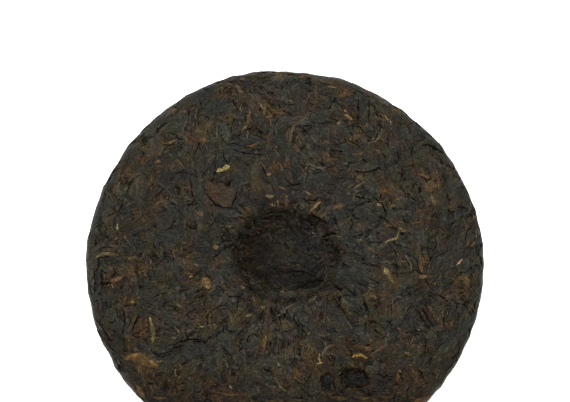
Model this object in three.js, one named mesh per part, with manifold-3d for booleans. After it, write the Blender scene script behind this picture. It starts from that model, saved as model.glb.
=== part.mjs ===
// A round cake of ripe tea, pressed from whole leaves and dried, lying on its domed face.
// Millimetres, +Z up. The origin is on the surface that the cake lies on, under its middle.
// The back is up: it is nearly flat, with the deep dimple that the knot of the pressing cloth leaves.
import * as THREE from "three";
import { mergeVertices } from "three/addons/utils/BufferGeometryUtils.js";
import Module from "manifold-3d";

const wasm = await Module();
wasm.setup();

// Driving sizes: radii from the axis, and heights above the surface that the cake lies on
const CAKE_RADIUS = 100;
const RIM_HEIGHT = 10.6;
const FOOT_RADIUS = 30;
const BELLY_EDGE = { radius: 94.5, height: 5.2 };
const BACK_EDGE = { radius: 94.5, height: 16.4 };
const LIP = { radius: 34, height: 22.6 };
const DIMPLE_WALL = { radius: 24.6, height: 19.4 };
const DIMPLE_FLOOR = 9.2;

// How uneven the pressed cake is
const RIM_MEAN = 99.75;
const RIM_LUMPS = [
  { angle: 105, width: 22, height: 0.8 },
  { angle: 178, width: 7, height: 0.4 },
  { angle: 166, width: 4, height: -0.4 },
  { angle: 150, width: 5, height: -0.6 },
  { angle: 85, width: 9, height: -0.85 },
  { angle: 71, width: 4, height: 0.5 },
  { angle: 57, width: 14, height: -0.5 },
  { angle: 36, width: 3, height: 0.3 },
  { angle: 25, width: 6, height: -0.3 },
  { angle: 0, width: 38, height: 0.5 },
  { angle: 4, width: 8, height: 0.3 },
  { angle: -44, width: 13, height: 0.35 },
  { angle: -95, width: 15, height: -0.5 },
  { angle: -143, width: 4, height: 0.3 },
  { angle: -150, width: 3, height: -0.5 },
  { angle: -158, width: 5, height: 0.25 },
];
const ROUGHNESS = 0.3;

// The dimple is a little out of round, and its wall is folded: the middle and reach of each as radii
const DIMPLE_OVAL = { depth: 1.1, middle: 27, reach: 9 };
const DIMPLE_FOLDS = { depth: 0.9, count: 7, middle: 20, reach: 7 };
// The side towards the viewer rises more gently, and the far left side lies further in
const NEAR_RISE = { height: 2.6, middle: 20, reach: 4.5, side: -90 };
const FAR_SHIFT = { inwards: 2, middle: 26, reach: 8, side: 122 };
// Pleats of the gathered cloth run outwards from the dimple, deeper on one side, and fade out
const PLEATS = { depth: 0.4, coarse: 17, fine: 26, from: [27, 34], to: [44, 62] };
// Broad low swells of the back
const SWELLS = { depth: 0.35, wave: 17, count: 3, from: [30, 50] };
// The outline's lumps fade out towards the middle
const OUTLINE_FADE = [50, 95];

// How finely the body is faceted, and how finely its section is measured
const SEGMENTS = 72;
const RINGS = { foot: 1, belly: 5, rim: 3, back: 8, lip: 3, wall: 5 };
const FINE_STEPS = 60;
const MERGE_GAP = 1e-3;

// Leaves that lie proud of the pressed surface
const LEAF_SINK = 0.35;
const LEAF_KEEL = 1.3;
const SEED = 20240611;

const smooth = (low, high, x) => THREE.MathUtils.smoothstep(x, low, high);
const bell = (x, middle, width) => Math.exp(-(((x - middle) / width) ** 2));
const point = (radius, height) => new THREE.Vector2(radius, height);

// The section runs from the middle of the foot, round the rim and over the back, to the middle of the dimple
const stretches = [
  {
    curve: new THREE.LineCurve(point(0, 0), point(FOOT_RADIUS, 0)),
    rings: RINGS.foot,
  },
  {
    curve: new THREE.CubicBezierCurve(
      point(FOOT_RADIUS, 0),
      point(52, 0),
      point(78, 2.2),
      point(BELLY_EDGE.radius, BELLY_EDGE.height),
    ),
    rings: RINGS.belly,
  },
  {
    curve: new THREE.CubicBezierCurve(
      point(BELLY_EDGE.radius, BELLY_EDGE.height),
      point(98.4, 6.4),
      point(CAKE_RADIUS, 8.2),
      point(CAKE_RADIUS, RIM_HEIGHT),
    ),
    rings: RINGS.rim,
  },
  {
    curve: new THREE.CubicBezierCurve(
      point(CAKE_RADIUS, RIM_HEIGHT),
      point(CAKE_RADIUS, 13.4),
      point(98.2, 15.6),
      point(BACK_EDGE.radius, BACK_EDGE.height),
    ),
    rings: RINGS.rim,
  },
  {
    curve: new THREE.CubicBezierCurve(
      point(BACK_EDGE.radius, BACK_EDGE.height),
      point(80, 19.4),
      point(52, 22.4),
      point(LIP.radius, LIP.height),
    ),
    rings: RINGS.back,
  },
  {
    curve: new THREE.CubicBezierCurve(
      point(LIP.radius, LIP.height),
      point(29.5, 22.7),
      point(26.2, 22.4),
      point(DIMPLE_WALL.radius, DIMPLE_WALL.height),
    ),
    rings: RINGS.lip,
  },
  {
    curve: new THREE.CubicBezierCurve(
      point(DIMPLE_WALL.radius, DIMPLE_WALL.height),
      point(21.4, 13.4),
      point(18.5, 9.6),
      point(0, DIMPLE_FLOOR),
    ),
    rings: RINGS.wall,
  },
];

// Ring positions for the body, and a finer run of points to measure along
const ringPoints = [point(0, 0)];
const finePoints = [point(0, 0)];
for (const { curve, rings } of stretches) {
  ringPoints.push(...curve.getSpacedPoints(rings).slice(1));
  finePoints.push(...curve.getSpacedPoints(FINE_STEPS).slice(1));
}
const fineLengths = [0];
for (let i = 1; i < finePoints.length; i++) {
  fineLengths.push(
    fineLengths[i - 1] + finePoints[i].distanceTo(finePoints[i - 1]),
  );
}

// The section's point at a distance along it from the middle of the foot
function sectionAt(distance) {
  const last = fineLengths.length - 1;
  const d = THREE.MathUtils.clamp(distance, 0, fineLengths[last]);
  let i = 1;
  while (i < last && fineLengths[i] < d) i++;
  const share = (d - fineLengths[i - 1]) / (fineLengths[i] - fineLengths[i - 1]);
  return finePoints[i - 1].clone().lerp(finePoints[i], share);
}

// The distance along the section to a radius on the back
function distanceOnBack(radius) {
  let i = fineLengths.length - 1;
  while (finePoints[i].x < radius) i--;
  return fineLengths[i];
}

function rimRadius(angle) {
  let radius = RIM_MEAN;
  for (const lump of RIM_LUMPS) {
    const off = THREE.MathUtils.euclideanModulo(
      THREE.MathUtils.radToDeg(angle) - lump.angle + 180,
      360,
    );
    radius += lump.height * bell(off, 180, lump.width);
  }
  return radius;
}

// How far an angle faces the side that is given in degrees, from 0 to 1
function facingSide(angle, side) {
  return Math.max(Math.cos(angle - THREE.MathUtils.degToRad(side)), 0);
}

// The dimple's wall, moved in or out: out of round, folded and further in on one side
function dimpleShift(radius, angle) {
  const oval =
    Math.cos(2 * angle + 0.5) *
    bell(radius, DIMPLE_OVAL.middle, DIMPLE_OVAL.reach);
  const fold =
    Math.cos(DIMPLE_FOLDS.count * angle + 1.4 * Math.sin(2 * angle)) *
    bell(radius, DIMPLE_FOLDS.middle, DIMPLE_FOLDS.reach);
  const further =
    bell(radius, FAR_SHIFT.middle, FAR_SHIFT.reach) *
    facingSide(angle, FAR_SHIFT.side);
  return (
    DIMPLE_OVAL.depth * oval +
    DIMPLE_FOLDS.depth * fold -
    FAR_SHIFT.inwards * further
  );
}

// How much higher the dimple's side towards the viewer is
function nearRise(radius, angle) {
  return (
    NEAR_RISE.height *
    bell(radius, NEAR_RISE.middle, NEAR_RISE.reach) *
    facingSide(angle, NEAR_RISE.side)
  );
}

// The pleats' height about the dimple
function pleatRise(radius, angle) {
  const wave =
    0.6 * Math.cos(PLEATS.coarse * angle + 1.3 * Math.sin(2 * angle)) +
    0.4 * Math.cos(PLEATS.fine * angle + 0.8 * Math.sin(3 * angle + 1));
  const facing = 0.65 + 0.35 * Math.cos(angle + 1);
  const spread = smooth(...PLEATS.from, radius) * (1 - smooth(...PLEATS.to, radius));
  return PLEATS.depth * wave * facing * spread;
}

function swellRise(radius, angle) {
  return (
    SWELLS.depth *
    Math.sin(radius / SWELLS.wave + 2 * Math.sin(angle)) *
    Math.cos(SWELLS.count * angle + 0.6) *
    smooth(...SWELLS.from, radius)
  );
}

// The pressed surface: the turned section made uneven round the cake
function skinPoint(radius, height, angle) {
  const lumps = rimRadius(angle) / CAKE_RADIUS - 1;
  let r = radius * (1 + lumps * smooth(...OUTLINE_FADE, radius));
  let z = height;
  const back = smooth(RIM_HEIGHT, BACK_EDGE.height, height);
  const inDimple = radius < LIP.radius && height > DIMPLE_FLOOR / 2;
  if (inDimple || back > 0) {
    r += dimpleShift(radius, angle);
    z += nearRise(radius, angle);
  }
  if (back > 0) z += pleatRise(radius, angle) + back * swellRise(radius, angle);
  return new THREE.Vector3(r * Math.cos(angle), r * Math.sin(angle), z);
}

function skinAt(distance, angle) {
  const { x, y } = sectionAt(distance);
  return skinPoint(x, y, angle);
}

// The body's triangles, from a lathe whose vertices are moved onto the uneven skin.
// Outside the flat foot and the axis each corner is also raised or sunk a little, as pressed leaves are.
function bodyGeometry(draw) {
  const geometry = new THREE.LatheGeometry(ringPoints, SEGMENTS);
  geometry.deleteAttribute("normal");
  geometry.deleteAttribute("uv");
  const position = geometry.getAttribute("position");
  const rings = ringPoints.length;
  const rough = Array.from({ length: rings * SEGMENTS }, () =>
    draw(-ROUGHNESS, ROUGHNESS),
  );
  for (let i = 0; i < position.count; i++) {
    const ring = i % rings;
    const segment = Math.floor(i / rings) % SEGMENTS;
    const { x: radius, y: height } = ringPoints[ring];
    const angle = (segment / SEGMENTS) * 2 * Math.PI;
    const flat = radius < 1 || height < 1;
    const bump = flat ? 0 : rough[ring * SEGMENTS + segment];
    const below = height < RIM_HEIGHT && radius > FOOT_RADIUS ? -1 : 1;
    const p = skinPoint(radius, height, angle);
    position.setXYZ(i, p.x, p.y, p.z + below * bump);
  }
  return mergeVertices(geometry, MERGE_GAP);
}

// How far apart the points are that the skin's normal is taken from, in mm and in radians
const NORMAL_STEP = 0.5;
const NORMAL_TURN = 0.01;

// A point beside a place on the skin: along and across lie on the skin, up is off it
function beside(place, along, across, up) {
  const { distance, angle, heading } = place;
  const outward = along * Math.sin(heading) + across * Math.cos(heading);
  const around = along * Math.cos(heading) - across * Math.sin(heading);
  const d = distance + outward;
  const a = angle + around / sectionAt(distance).x;
  const p = skinAt(d, a);
  const alongSection = skinAt(d + NORMAL_STEP, a).sub(skinAt(d - NORMAL_STEP, a));
  const aroundCake = skinAt(d, a + NORMAL_TURN).sub(skinAt(d, a - NORMAL_TURN));
  const normal = aroundCake.cross(alongSection).normalize();
  return p.addScaledVector(normal, up);
}

// One leaf: a few-sided strip with pointed ends, crowned above the skin and keeled below it.
// Its stations lie along it, and the ridge a little to one side.
const STATIONS = [-0.55, 0, 0.55];
const FULLNESS = [0.85, 1, 0.75];
const RIDGE_SHIFT = 0.2;
const SIDES = 4;

function leafGeometry(place, { length, width, rise, bend, keel }) {
  const half = length / 2;
  const sway = (t) => bend * (1 - t * t);
  const corners = [beside(place, -half, sway(-1), -LEAF_SINK)];
  STATIONS.forEach((t, i) => {
    const w = (width / 2) * FULLNESS[i];
    const along = t * half;
    corners.push(
      beside(place, along, sway(t) - w, -LEAF_SINK),
      beside(place, along, sway(t) + RIDGE_SHIFT * w, rise * FULLNESS[i]),
      beside(place, along, sway(t) + w, -LEAF_SINK),
      beside(place, along, sway(t), -keel),
    );
  });
  corners.push(beside(place, half, sway(1), -LEAF_SINK));
  const faces = [];
  const tip = corners.length - 1;
  for (let side = 0; side < SIDES; side++) {
    const next = (side + 1) % SIDES;
    faces.push(0, 1 + next, 1 + side);
    for (let row = 0; row < STATIONS.length - 1; row++) {
      const a = 1 + row * SIDES;
      const b = a + SIDES;
      faces.push(a + side, a + next, b + next);
      faces.push(a + side, b + next, b + side);
    }
    const end = 1 + (STATIONS.length - 1) * SIDES;
    faces.push(tip, end + side, end + next);
  }
  const geometry = new THREE.BufferGeometry().setFromPoints(corners);
  geometry.setIndex(faces);
  return geometry;
}

function solidOf(geometry) {
  return new wasm.Manifold(
    new wasm.Mesh({
      numProp: 3,
      vertProperties: new Float32Array(geometry.getAttribute("position").array),
      triVerts: new Uint32Array(geometry.index.array),
    }),
  );
}

// A leaf solid, turned the right way out
function leafSolid(place, shape) {
  const geometry = leafGeometry(place, shape);
  const solid = solidOf(geometry);
  if (solid.volume() > 0) return solid;
  const index = geometry.index.array;
  for (let i = 0; i < index.length; i += 3) {
    [index[i + 1], index[i + 2]] = [index[i + 2], index[i + 1]];
  }
  return solidOf(geometry);
}

// Large leaves and buds of the back that stand out, from end to end as x and y
const LARGE_LEAVES = [
  { from: [39, 85], to: [38, 69], width: 5.5, rise: 0.9, bend: 0.4 },
  { from: [-77, -52.5], to: [-61, -56], width: 4, rise: 0.7, bend: 1.2 },
  { from: [-66.5, -31.5], to: [-64, -44], width: 3.4, rise: 0.8, bend: -0.4 },
  { from: [49, -7.5], to: [54.5, -16.5], width: 3.6, rise: 0.9, bend: 0.8 },
  { from: [-9, -40.5], to: [-10, -49.5], width: 3.2, rise: 0.6, bend: 0.3 },
  { from: [65, -26.5], to: [72, -38.5], width: 4.6, rise: 0.8, bend: 0.9 },
  { from: [-18, 75], to: [-19.5, 65], width: 3.4, rise: 0.6, bend: -1 },
  { from: [-91, -0.5], to: [-82, 1.5], width: 3.8, rise: 0.7, bend: 0.4 },
  { from: [-67, 22], to: [-60, 29], width: 3.4, rise: 0.6, bend: 0.3 },
  { from: [-35, 42], to: [-27, 45.5], width: 3.8, rise: 0.8, bend: 0.2 },
  { from: [-39.5, 33], to: [-22.5, 28.5], width: 10, rise: 0.9, bend: 0.5 },
  { from: [68, -0.5], to: [67.5, -9], width: 3.2, rise: 0.6, bend: -0.5 },
  { from: [85.5, -11.5], to: [91.5, -16], width: 4, rise: 0.7, bend: -0.6 },
  { from: [32.5, -51.5], to: [41.5, -51.5], width: 3, rise: 0.6, bend: -1.2 },
  { from: [5, -55], to: [6.5, -63], width: 3.8, rise: 0.7, bend: 0.4 },
  { from: [35, 27], to: [48, 15], width: 11, rise: 0.8, bend: -1.2 },
  { from: [76, 38], to: [77.5, 25], width: 4.6, rise: 0.8, bend: -0.8 },
  { from: [-72, -65.5], to: [-68, -70.5], width: 3.6, rise: 0.7, bend: 0.3 },
];

// Hollows between the leaves of the back, where a leaf has come away
const HOLLOWS = [
  { from: [27.5, -60.5], to: [40, -62], width: 8, depth: 2.3, bend: 0.4 },
  { from: [20.8, -60.5], to: [21.2, -67.5], width: 5, depth: 1.7, bend: 0.2 },
];
const HOLLOW_RISE = 1;

function placeBetween(from, to) {
  const x = (from[0] + to[0]) / 2;
  const y = (from[1] + to[1]) / 2;
  const angle = Math.atan2(y, x);
  const dx = to[0] - from[0];
  const dy = to[1] - from[1];
  const around = -dx * Math.sin(angle) + dy * Math.cos(angle);
  // the section runs inwards on the back
  const inward = -(dx * Math.cos(angle) + dy * Math.sin(angle));
  const place = {
    distance: distanceOnBack(Math.hypot(x, y)),
    angle,
    heading: Math.atan2(inward, around),
  };
  return { place, length: Math.hypot(dx, dy) };
}

// The rest of the leaves are strewn evenly by a seeded draw, turned any way but crossing no sharp edge
function seededDraw(seed) {
  let state = seed >>> 0;
  return (low, high) => {
    state = (Math.imul(state, 1664525) + 1013904223) >>> 0;
    return low + (high - low) * (state / 4294967296);
  };
}

const GOLDEN_ANGLE = Math.PI * (3 - Math.sqrt(5));
const ANGLE_JITTER = 0.1;
const LEAF_SIZES = {
  length: [11, 20],
  width: [3.5, 7],
  rise: [0.6, 1],
  bend: [-1.2, 1.2],
};
// Where the rim's leaves lie along the section, from a distance of one cake radius on
const RIM_STRETCH = [-0.5, 7];
const STREWN = [
  { count: 80, low: 38, high: 92, side: "back", turn: Math.PI },
  { count: 6, low: 19, high: 27, side: "back", turn: 0.8 },
  { count: 26, low: 0, high: 1, side: "rim", turn: 0.45 },
  { count: 36, low: 62, high: 92, side: "belly", turn: Math.PI },
];

function strewnLeaves(draw) {
  const leaves = [];
  for (const { count, low, high, side, turn } of STREWN) {
    for (let i = 0; i < count; i++) {
      const share = (i + 0.5) / count;
      const angle = i * GOLDEN_ANGLE + draw(-ANGLE_JITTER, ANGLE_JITTER);
      const radius = Math.sqrt(low * low + share * (high * high - low * low));
      let distance;
      if (side === "back") distance = distanceOnBack(radius);
      if (side === "belly") distance = radius;
      if (side === "rim") distance = CAKE_RADIUS + draw(...RIM_STRETCH);
      leaves.push({
        place: { distance, angle, heading: draw(-turn, turn) },
        shape: {
          length: draw(...LEAF_SIZES.length),
          width: draw(...LEAF_SIZES.width),
          rise: draw(...LEAF_SIZES.rise),
          bend: draw(...LEAF_SIZES.bend),
          keel: LEAF_KEEL,
        },
      });
    }
  }
  return leaves;
}

function cakeGeometry() {
  const draw = seededDraw(SEED);
  let cake = solidOf(bodyGeometry(draw));
  for (const { from, to, width, depth, bend } of HOLLOWS) {
    const { place, length } = placeBetween(from, to);
    const shape = { length, width, rise: HOLLOW_RISE, bend, keel: depth };
    cake = cake.subtract(leafSolid(place, shape));
  }
  const large = LARGE_LEAVES.map(({ from, to, width, rise, bend }) => {
    const { place, length } = placeBetween(from, to);
    return { place, shape: { length, width, rise, bend, keel: LEAF_KEEL } };
  });
  for (const { place, shape } of [...large, ...strewnLeaves(draw)]) {
    cake = cake.add(leafSolid(place, shape));
  }
  const mesh = cake.getMesh();
  const geometry = new THREE.BufferGeometry();
  geometry.setAttribute(
    "position",
    new THREE.BufferAttribute(mesh.vertProperties, 3),
  );
  geometry.setIndex(new THREE.BufferAttribute(mesh.triVerts, 1));
  geometry.computeBoundingBox();
  const box = geometry.boundingBox;
  geometry.translate(
    -(box.min.x + box.max.x) / 2,
    -(box.min.y + box.max.y) / 2,
    0,
  );
  return geometry;
}

const pressedLeaf = new THREE.MeshStandardMaterial({
  color: new THREE.Color("rgb(55, 50, 42)"),
  roughness: 0.75,
  metalness: 0,
});

const teaCake = new THREE.Mesh(cakeGeometry(), pressedLeaf);
teaCake.name = "tea_cake";

const part = new THREE.Group();
part.add(teaCake);

export default part;
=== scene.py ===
"""A round cake of pressed ripe tea on a pale floor, seen from above and a little from the front.

The cake is built as the real one is: a dark core under a crust of single leaves, which the press has
flattened to one surface. Leaf sizes and places are in millimetres, with +Z up, and meshes are in metres.
"""

import math

import bpy
import numpy as np
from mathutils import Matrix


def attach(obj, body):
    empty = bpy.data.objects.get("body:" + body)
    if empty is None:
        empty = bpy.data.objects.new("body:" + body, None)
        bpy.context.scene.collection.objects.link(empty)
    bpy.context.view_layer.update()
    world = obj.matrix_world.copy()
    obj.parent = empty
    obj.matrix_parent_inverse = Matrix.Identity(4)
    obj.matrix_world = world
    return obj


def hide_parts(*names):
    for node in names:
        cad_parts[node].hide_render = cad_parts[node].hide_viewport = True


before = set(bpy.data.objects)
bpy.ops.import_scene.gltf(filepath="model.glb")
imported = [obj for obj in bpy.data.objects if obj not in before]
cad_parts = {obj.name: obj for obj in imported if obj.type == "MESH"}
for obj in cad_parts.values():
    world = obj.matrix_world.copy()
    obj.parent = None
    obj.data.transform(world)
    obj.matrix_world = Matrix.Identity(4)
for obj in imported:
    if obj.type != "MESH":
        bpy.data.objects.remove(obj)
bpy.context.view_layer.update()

MM = 0.001
SEED = 20240611
NODE = "tea_cake"
BODY = "root"

# Driving sizes of the cake: radii from its axis, and heights above the surface that it lies on
CAKE_RADIUS = 100.0
RIM_HEIGHT = 10.6
FOOT_RADIUS = 30.0
BELLY_EDGE = (94.5, 5.2)
BACK_EDGE = (94.5, 16.4)
LIP = (34.0, 22.6)
DIMPLE_WALL = (24.6, 19.4)
DIMPLE_FLOOR = 9.2

# How uneven the pressed cake is: lumps of the rim as angle, width and height
RIM_MEAN = 99.75
RIM_LUMPS = [
    (105, 22, 0.8), (178, 7, 0.4), (166, 4, -0.4), (150, 5, -0.6), (146, 2, 0.4), (85, 9, -0.85),
    (71, 4, 0.5), (57, 14, -0.5), (47, 3, -0.35), (36, 3, 0.3), (25, 6, -0.3), (4, 8, 0.3), (0, 38, 0.5),
    (-12, 2, 0.35), (-44, 13, 0.35), (-95, 15, -0.5), (-143, 4, 0.3), (-150, 3, -0.5), (-158, 5, 0.25),
]
# The rim's finer unevenness, as waves round it: their number and height
RIM_WAVES = [(31, 0.1), (47, 0.12), (67, 0.1)]
# Hollows in the back where a leaf has come away: the line from x, y to x, y, and its width and depth
HOLLOWS = [
    (30.8, -60.4, 36.8, -61.6, 7.6, 2.3),
    (20.8, -61.5, 21.2, -66.5, 5.0, 1.6),
    (-12, -32, -11, -32.5, 3.0, 0.9),
    (-4.5, -31, -3.5, -31, 3.0, 0.9),
    (-16.5, -29, -16, -29.5, 2.6, 0.8),
    (-18.5, -24, -18, -24.5, 2.6, 0.8),
    (-35, 37.3, -29, 37.6, 1.8, 0.9),
]
# The hollows' edges are ragged, coarsely and finely, and steep
COARSE_RAGGED = 0.13
FINE_RAGGED = 0.1
HOLLOW_STEEPNESS = 6
# Pleats of the gathered cloth run outwards from the dimple: depth, numbers, and where they start and end
PLEAT_DEPTH = 0.4
COARSE_PLEATS = 17
FINE_PLEATS = 26
PLEAT_FROM = (27, 34)
PLEAT_TO = (44, 62)
# The dimple is out of round, and its wall is folded: depth, then the middle and reach as radii
OVAL_DEPTH = 1.1
OVAL_REACH = (27, 9)
FOLD_DEPTH = 0.9
FOLDS = 7
FOLD_REACH = (20, 7)
# Broad low swells of the back
SWELL = 0.35
SWELL_LENGTH = 17
SWELL_FROM = (30, 50)
# The side of the dimple towards the viewer rises more gently: how far it is raised, and where
NEAR_RISE = 2.6
NEAR_REACH = (20, 4.5)
# The dimple's far left side lies further in: how far, where, and the angle of its middle
FAR_SHIFT = 2.0
FAR_REACH = (26, 8)
FAR_SIDE = math.radians(122)
# The outline's lumps fade out towards the middle
OUTLINE_FADE = (50, 95)
# The steps over which the skin's slope is measured, in millimetres and radians
ALONG_STEP = 0.4
TURN_STEP = 0.01
# Near the axis, a step across is taken as if at this radius
SMALLEST_TURN = 6

# The section from the middle of the foot, round the rim and over the back to the middle of the dimple
SECTION = [
    ((0, 0), (10, 0), (20, 0), (FOOT_RADIUS, 0)),
    ((FOOT_RADIUS, 0), (52, 0), (78, 2.2), BELLY_EDGE),
    (BELLY_EDGE, (98.4, 6.4), (CAKE_RADIUS, 8.2), (CAKE_RADIUS, RIM_HEIGHT)),
    ((CAKE_RADIUS, RIM_HEIGHT), (CAKE_RADIUS, 13.4), (98.2, 15.6), BACK_EDGE),
    (BACK_EDGE, (80, 19.4), (52, 22.4), LIP),
    (LIP, (29.5, 22.7), (26.2, 22.4), DIMPLE_WALL),
    (DIMPLE_WALL, (21.4, 13.4), (18.5, 9.6), (0, DIMPLE_FLOOR)),
]


def bezier(corners, steps=80):
    """Points along one cubic curve, its first point included."""
    a, b, c, d = np.array(corners, float)
    t = np.linspace(0, 1, steps, endpoint=False)[:, None]
    return (1 - t) ** 3 * a + 3 * t * (1 - t) ** 2 * b + 3 * t * t * (1 - t) * c + t**3 * d


outline = np.vstack([bezier(c) for c in SECTION] + [np.array([SECTION[-1][-1]])])
gaps = np.linalg.norm(np.diff(outline, axis=0), axis=1)
LENGTHS = np.concatenate([[0], np.cumsum(gaps)])
RADII, HEIGHTS = outline.T
WIDEST = int(RADII.argmax())
TOTAL = LENGTHS[-1]


def smooth(low, high, x):
    t = np.clip((x - low) / (high - low), 0, 1)
    return t * t * (3 - 2 * t)


def bell(x, middle, width):
    return np.exp(-(((x - middle) / width) ** 2))


def back_distance(radius):
    """How far along the section a radius on the back is."""
    return np.interp(-radius, -RADII[WIDEST:], LENGTHS[WIDEST:])


def belly_distance(radius):
    """How far along the section a radius on the domed face is."""
    return np.interp(radius, RADII[: WIDEST + 1], LENGTHS[: WIDEST + 1])


BELLY_END = belly_distance(BELLY_EDGE[0])
BACK_START = back_distance(BACK_EDGE[0])


def rim_radius(angle):
    radius = np.full_like(angle, RIM_MEAN)
    for middle, width, height in RIM_LUMPS:
        off = (np.degrees(angle) - middle + 180) % 360
        radius += height * bell(off, 180, width)
    for number, height in RIM_WAVES:
        radius += height * np.sin(number * angle + number)
    return radius


def seen_from_above(distance, angle):
    """A place's radius, x and y on the plain turned shape."""
    radius = np.interp(distance, LENGTHS, RADII)
    return radius, radius * np.cos(angle), radius * np.sin(angle)


def hollow_depth(distance, angle):
    """How deep the skin is sunk by the hollows in the back."""
    _, x, y = seen_from_above(distance, angle)
    depth = np.zeros(np.shape(x))
    ragged = 1 + COARSE_RAGGED * np.sin(2.1 * x + 1) * np.cos(1.7 * y)
    ragged = ragged + FINE_RAGGED * np.sin(1.3 * y - 0.8 * x)
    for x1, y1, x2, y2, width, deep in HOLLOWS:
        run, rise = x2 - x1, y2 - y1
        share = np.clip(((x - x1) * run + (y - y1) * rise) / (run**2 + rise**2), 0, 1)
        off = np.hypot(x - x1 - share * run, y - y1 - share * rise) * ragged
        depth = np.maximum(depth, deep * np.exp(-((off / (width / 2)) ** HOLLOW_STEEPNESS)))
    return np.where(distance > BACK_START, depth, 0.0)


def skin(distance, angle):
    """The pressed surface: the turned section made uneven round the cake."""
    radius = np.interp(distance, LENGTHS, RADII)
    height = np.interp(distance, LENGTHS, HEIGHTS)
    wide = 1 + (rim_radius(angle) / CAKE_RADIUS - 1) * smooth(*OUTLINE_FADE, radius)
    back = smooth(RIM_HEIGHT, BACK_EDGE[1], height)
    dimple = ((radius < LIP[0]) & (height > 1)) | (back > 0)
    uneven = OVAL_DEPTH * np.cos(2 * angle + 0.5) * bell(radius, *OVAL_REACH)
    uneven = uneven - FAR_SHIFT * bell(radius, *FAR_REACH) * np.maximum(np.cos(angle - FAR_SIDE), 0)
    folds = np.cos(FOLDS * angle + 1.4 * np.sin(2 * angle))
    r = radius * wide + dimple * (uneven + FOLD_DEPTH * folds * bell(radius, *FOLD_REACH))
    pleat = 0.6 * np.cos(COARSE_PLEATS * angle + 1.3 * np.sin(2 * angle))
    pleat += 0.4 * np.cos(FINE_PLEATS * angle + 0.8 * np.sin(3 * angle + 1))
    facing = 0.65 + 0.35 * np.cos(angle + 1)
    spread = smooth(*PLEAT_FROM, radius) * (1 - smooth(*PLEAT_TO, radius))
    swell = np.sin(radius / SWELL_LENGTH + 2 * np.sin(angle)) * np.cos(3 * angle + 0.6)
    z = height + (back > 0) * PLEAT_DEPTH * pleat * facing * spread
    z += SWELL * back * swell * smooth(*SWELL_FROM, radius)
    z += dimple * NEAR_RISE * bell(radius, *NEAR_REACH) * np.maximum(-np.sin(angle), 0)
    z -= hollow_depth(distance, angle)
    return np.stack([r * np.cos(angle), r * np.sin(angle), z], -1)


def raised(distance, angle, up):
    """Points on the skin, moved off it along its normal by up."""
    place = skin(distance, angle)
    along = skin(distance + ALONG_STEP, angle) - skin(distance - ALONG_STEP, angle)
    around = skin(distance, angle + TURN_STEP) - skin(distance, angle - TURN_STEP)
    normal = np.cross(around, along)
    normal /= np.maximum(np.linalg.norm(normal, axis=-1, keepdims=True), 1e-9)
    return place + normal * up[..., None]


def closed_rings(rows, columns):
    """Triangles between rings of points, which one more point closes at each end."""
    ring = np.arange(rows * columns).reshape(rows, columns)
    ahead = np.roll(ring, -1, axis=1)
    first, last = ring.size, ring.size + 1
    return np.vstack(
        [
            np.stack([ring[:-1], ahead[:-1], ahead[1:]], -1).reshape(-1, 3),
            np.stack([ring[:-1], ahead[1:], ring[1:]], -1).reshape(-1, 3),
            np.stack([np.full(columns, first), ahead[0], ring[0]], -1),
            np.stack([np.full(columns, last), ring[-1], ahead[-1]], -1),
        ]
    )


def mesh_object(name, points, triangles, material, attributes=(), sharp=None):
    """A smooth mesh from arrays, its points in millimetres, with sharp edges from an angle up."""
    mesh = bpy.data.meshes.new(name)
    mesh.vertices.add(len(points))
    mesh.vertices.foreach_set("co", (points * MM).astype(np.float32).ravel())
    mesh.loops.add(triangles.size)
    mesh.loops.foreach_set("vertex_index", triangles.astype(np.int32).ravel())
    mesh.polygons.add(len(triangles))
    starts = np.arange(len(triangles), dtype=np.int32) * 3
    mesh.polygons.foreach_set("loop_start", starts)
    mesh.update(calc_edges=True)
    mesh.validate()
    for label, values in attributes:
        if values.ndim == 2:
            layer = mesh.uv_layers.new(name=label)
            corners = values[triangles.ravel()].astype(np.float32)
            layer.data.foreach_set("uv", corners.ravel())
        else:
            layer = mesh.attributes.new(label, "FLOAT", "POINT")
            layer.data.foreach_set("value", values.astype(np.float32))
    mesh.shade_smooth()
    if sharp is not None:
        mesh.set_sharp_from_angle(angle=math.radians(sharp))
    mesh.materials.append(material)
    piece = bpy.data.objects.new(name, mesh)
    bpy.context.scene.collection.objects.link(piece)
    return piece


# Materials


def display(red, green, blue):
    """A colour as it looks on a screen, 0 to 255, turned into the linear values that a shader takes."""
    parts = [c / 255 for c in (red, green, blue)]
    return [c / 12.92 if c <= 0.04045 else ((c + 0.055) / 1.055) ** 2.4 for c in parts]


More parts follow.
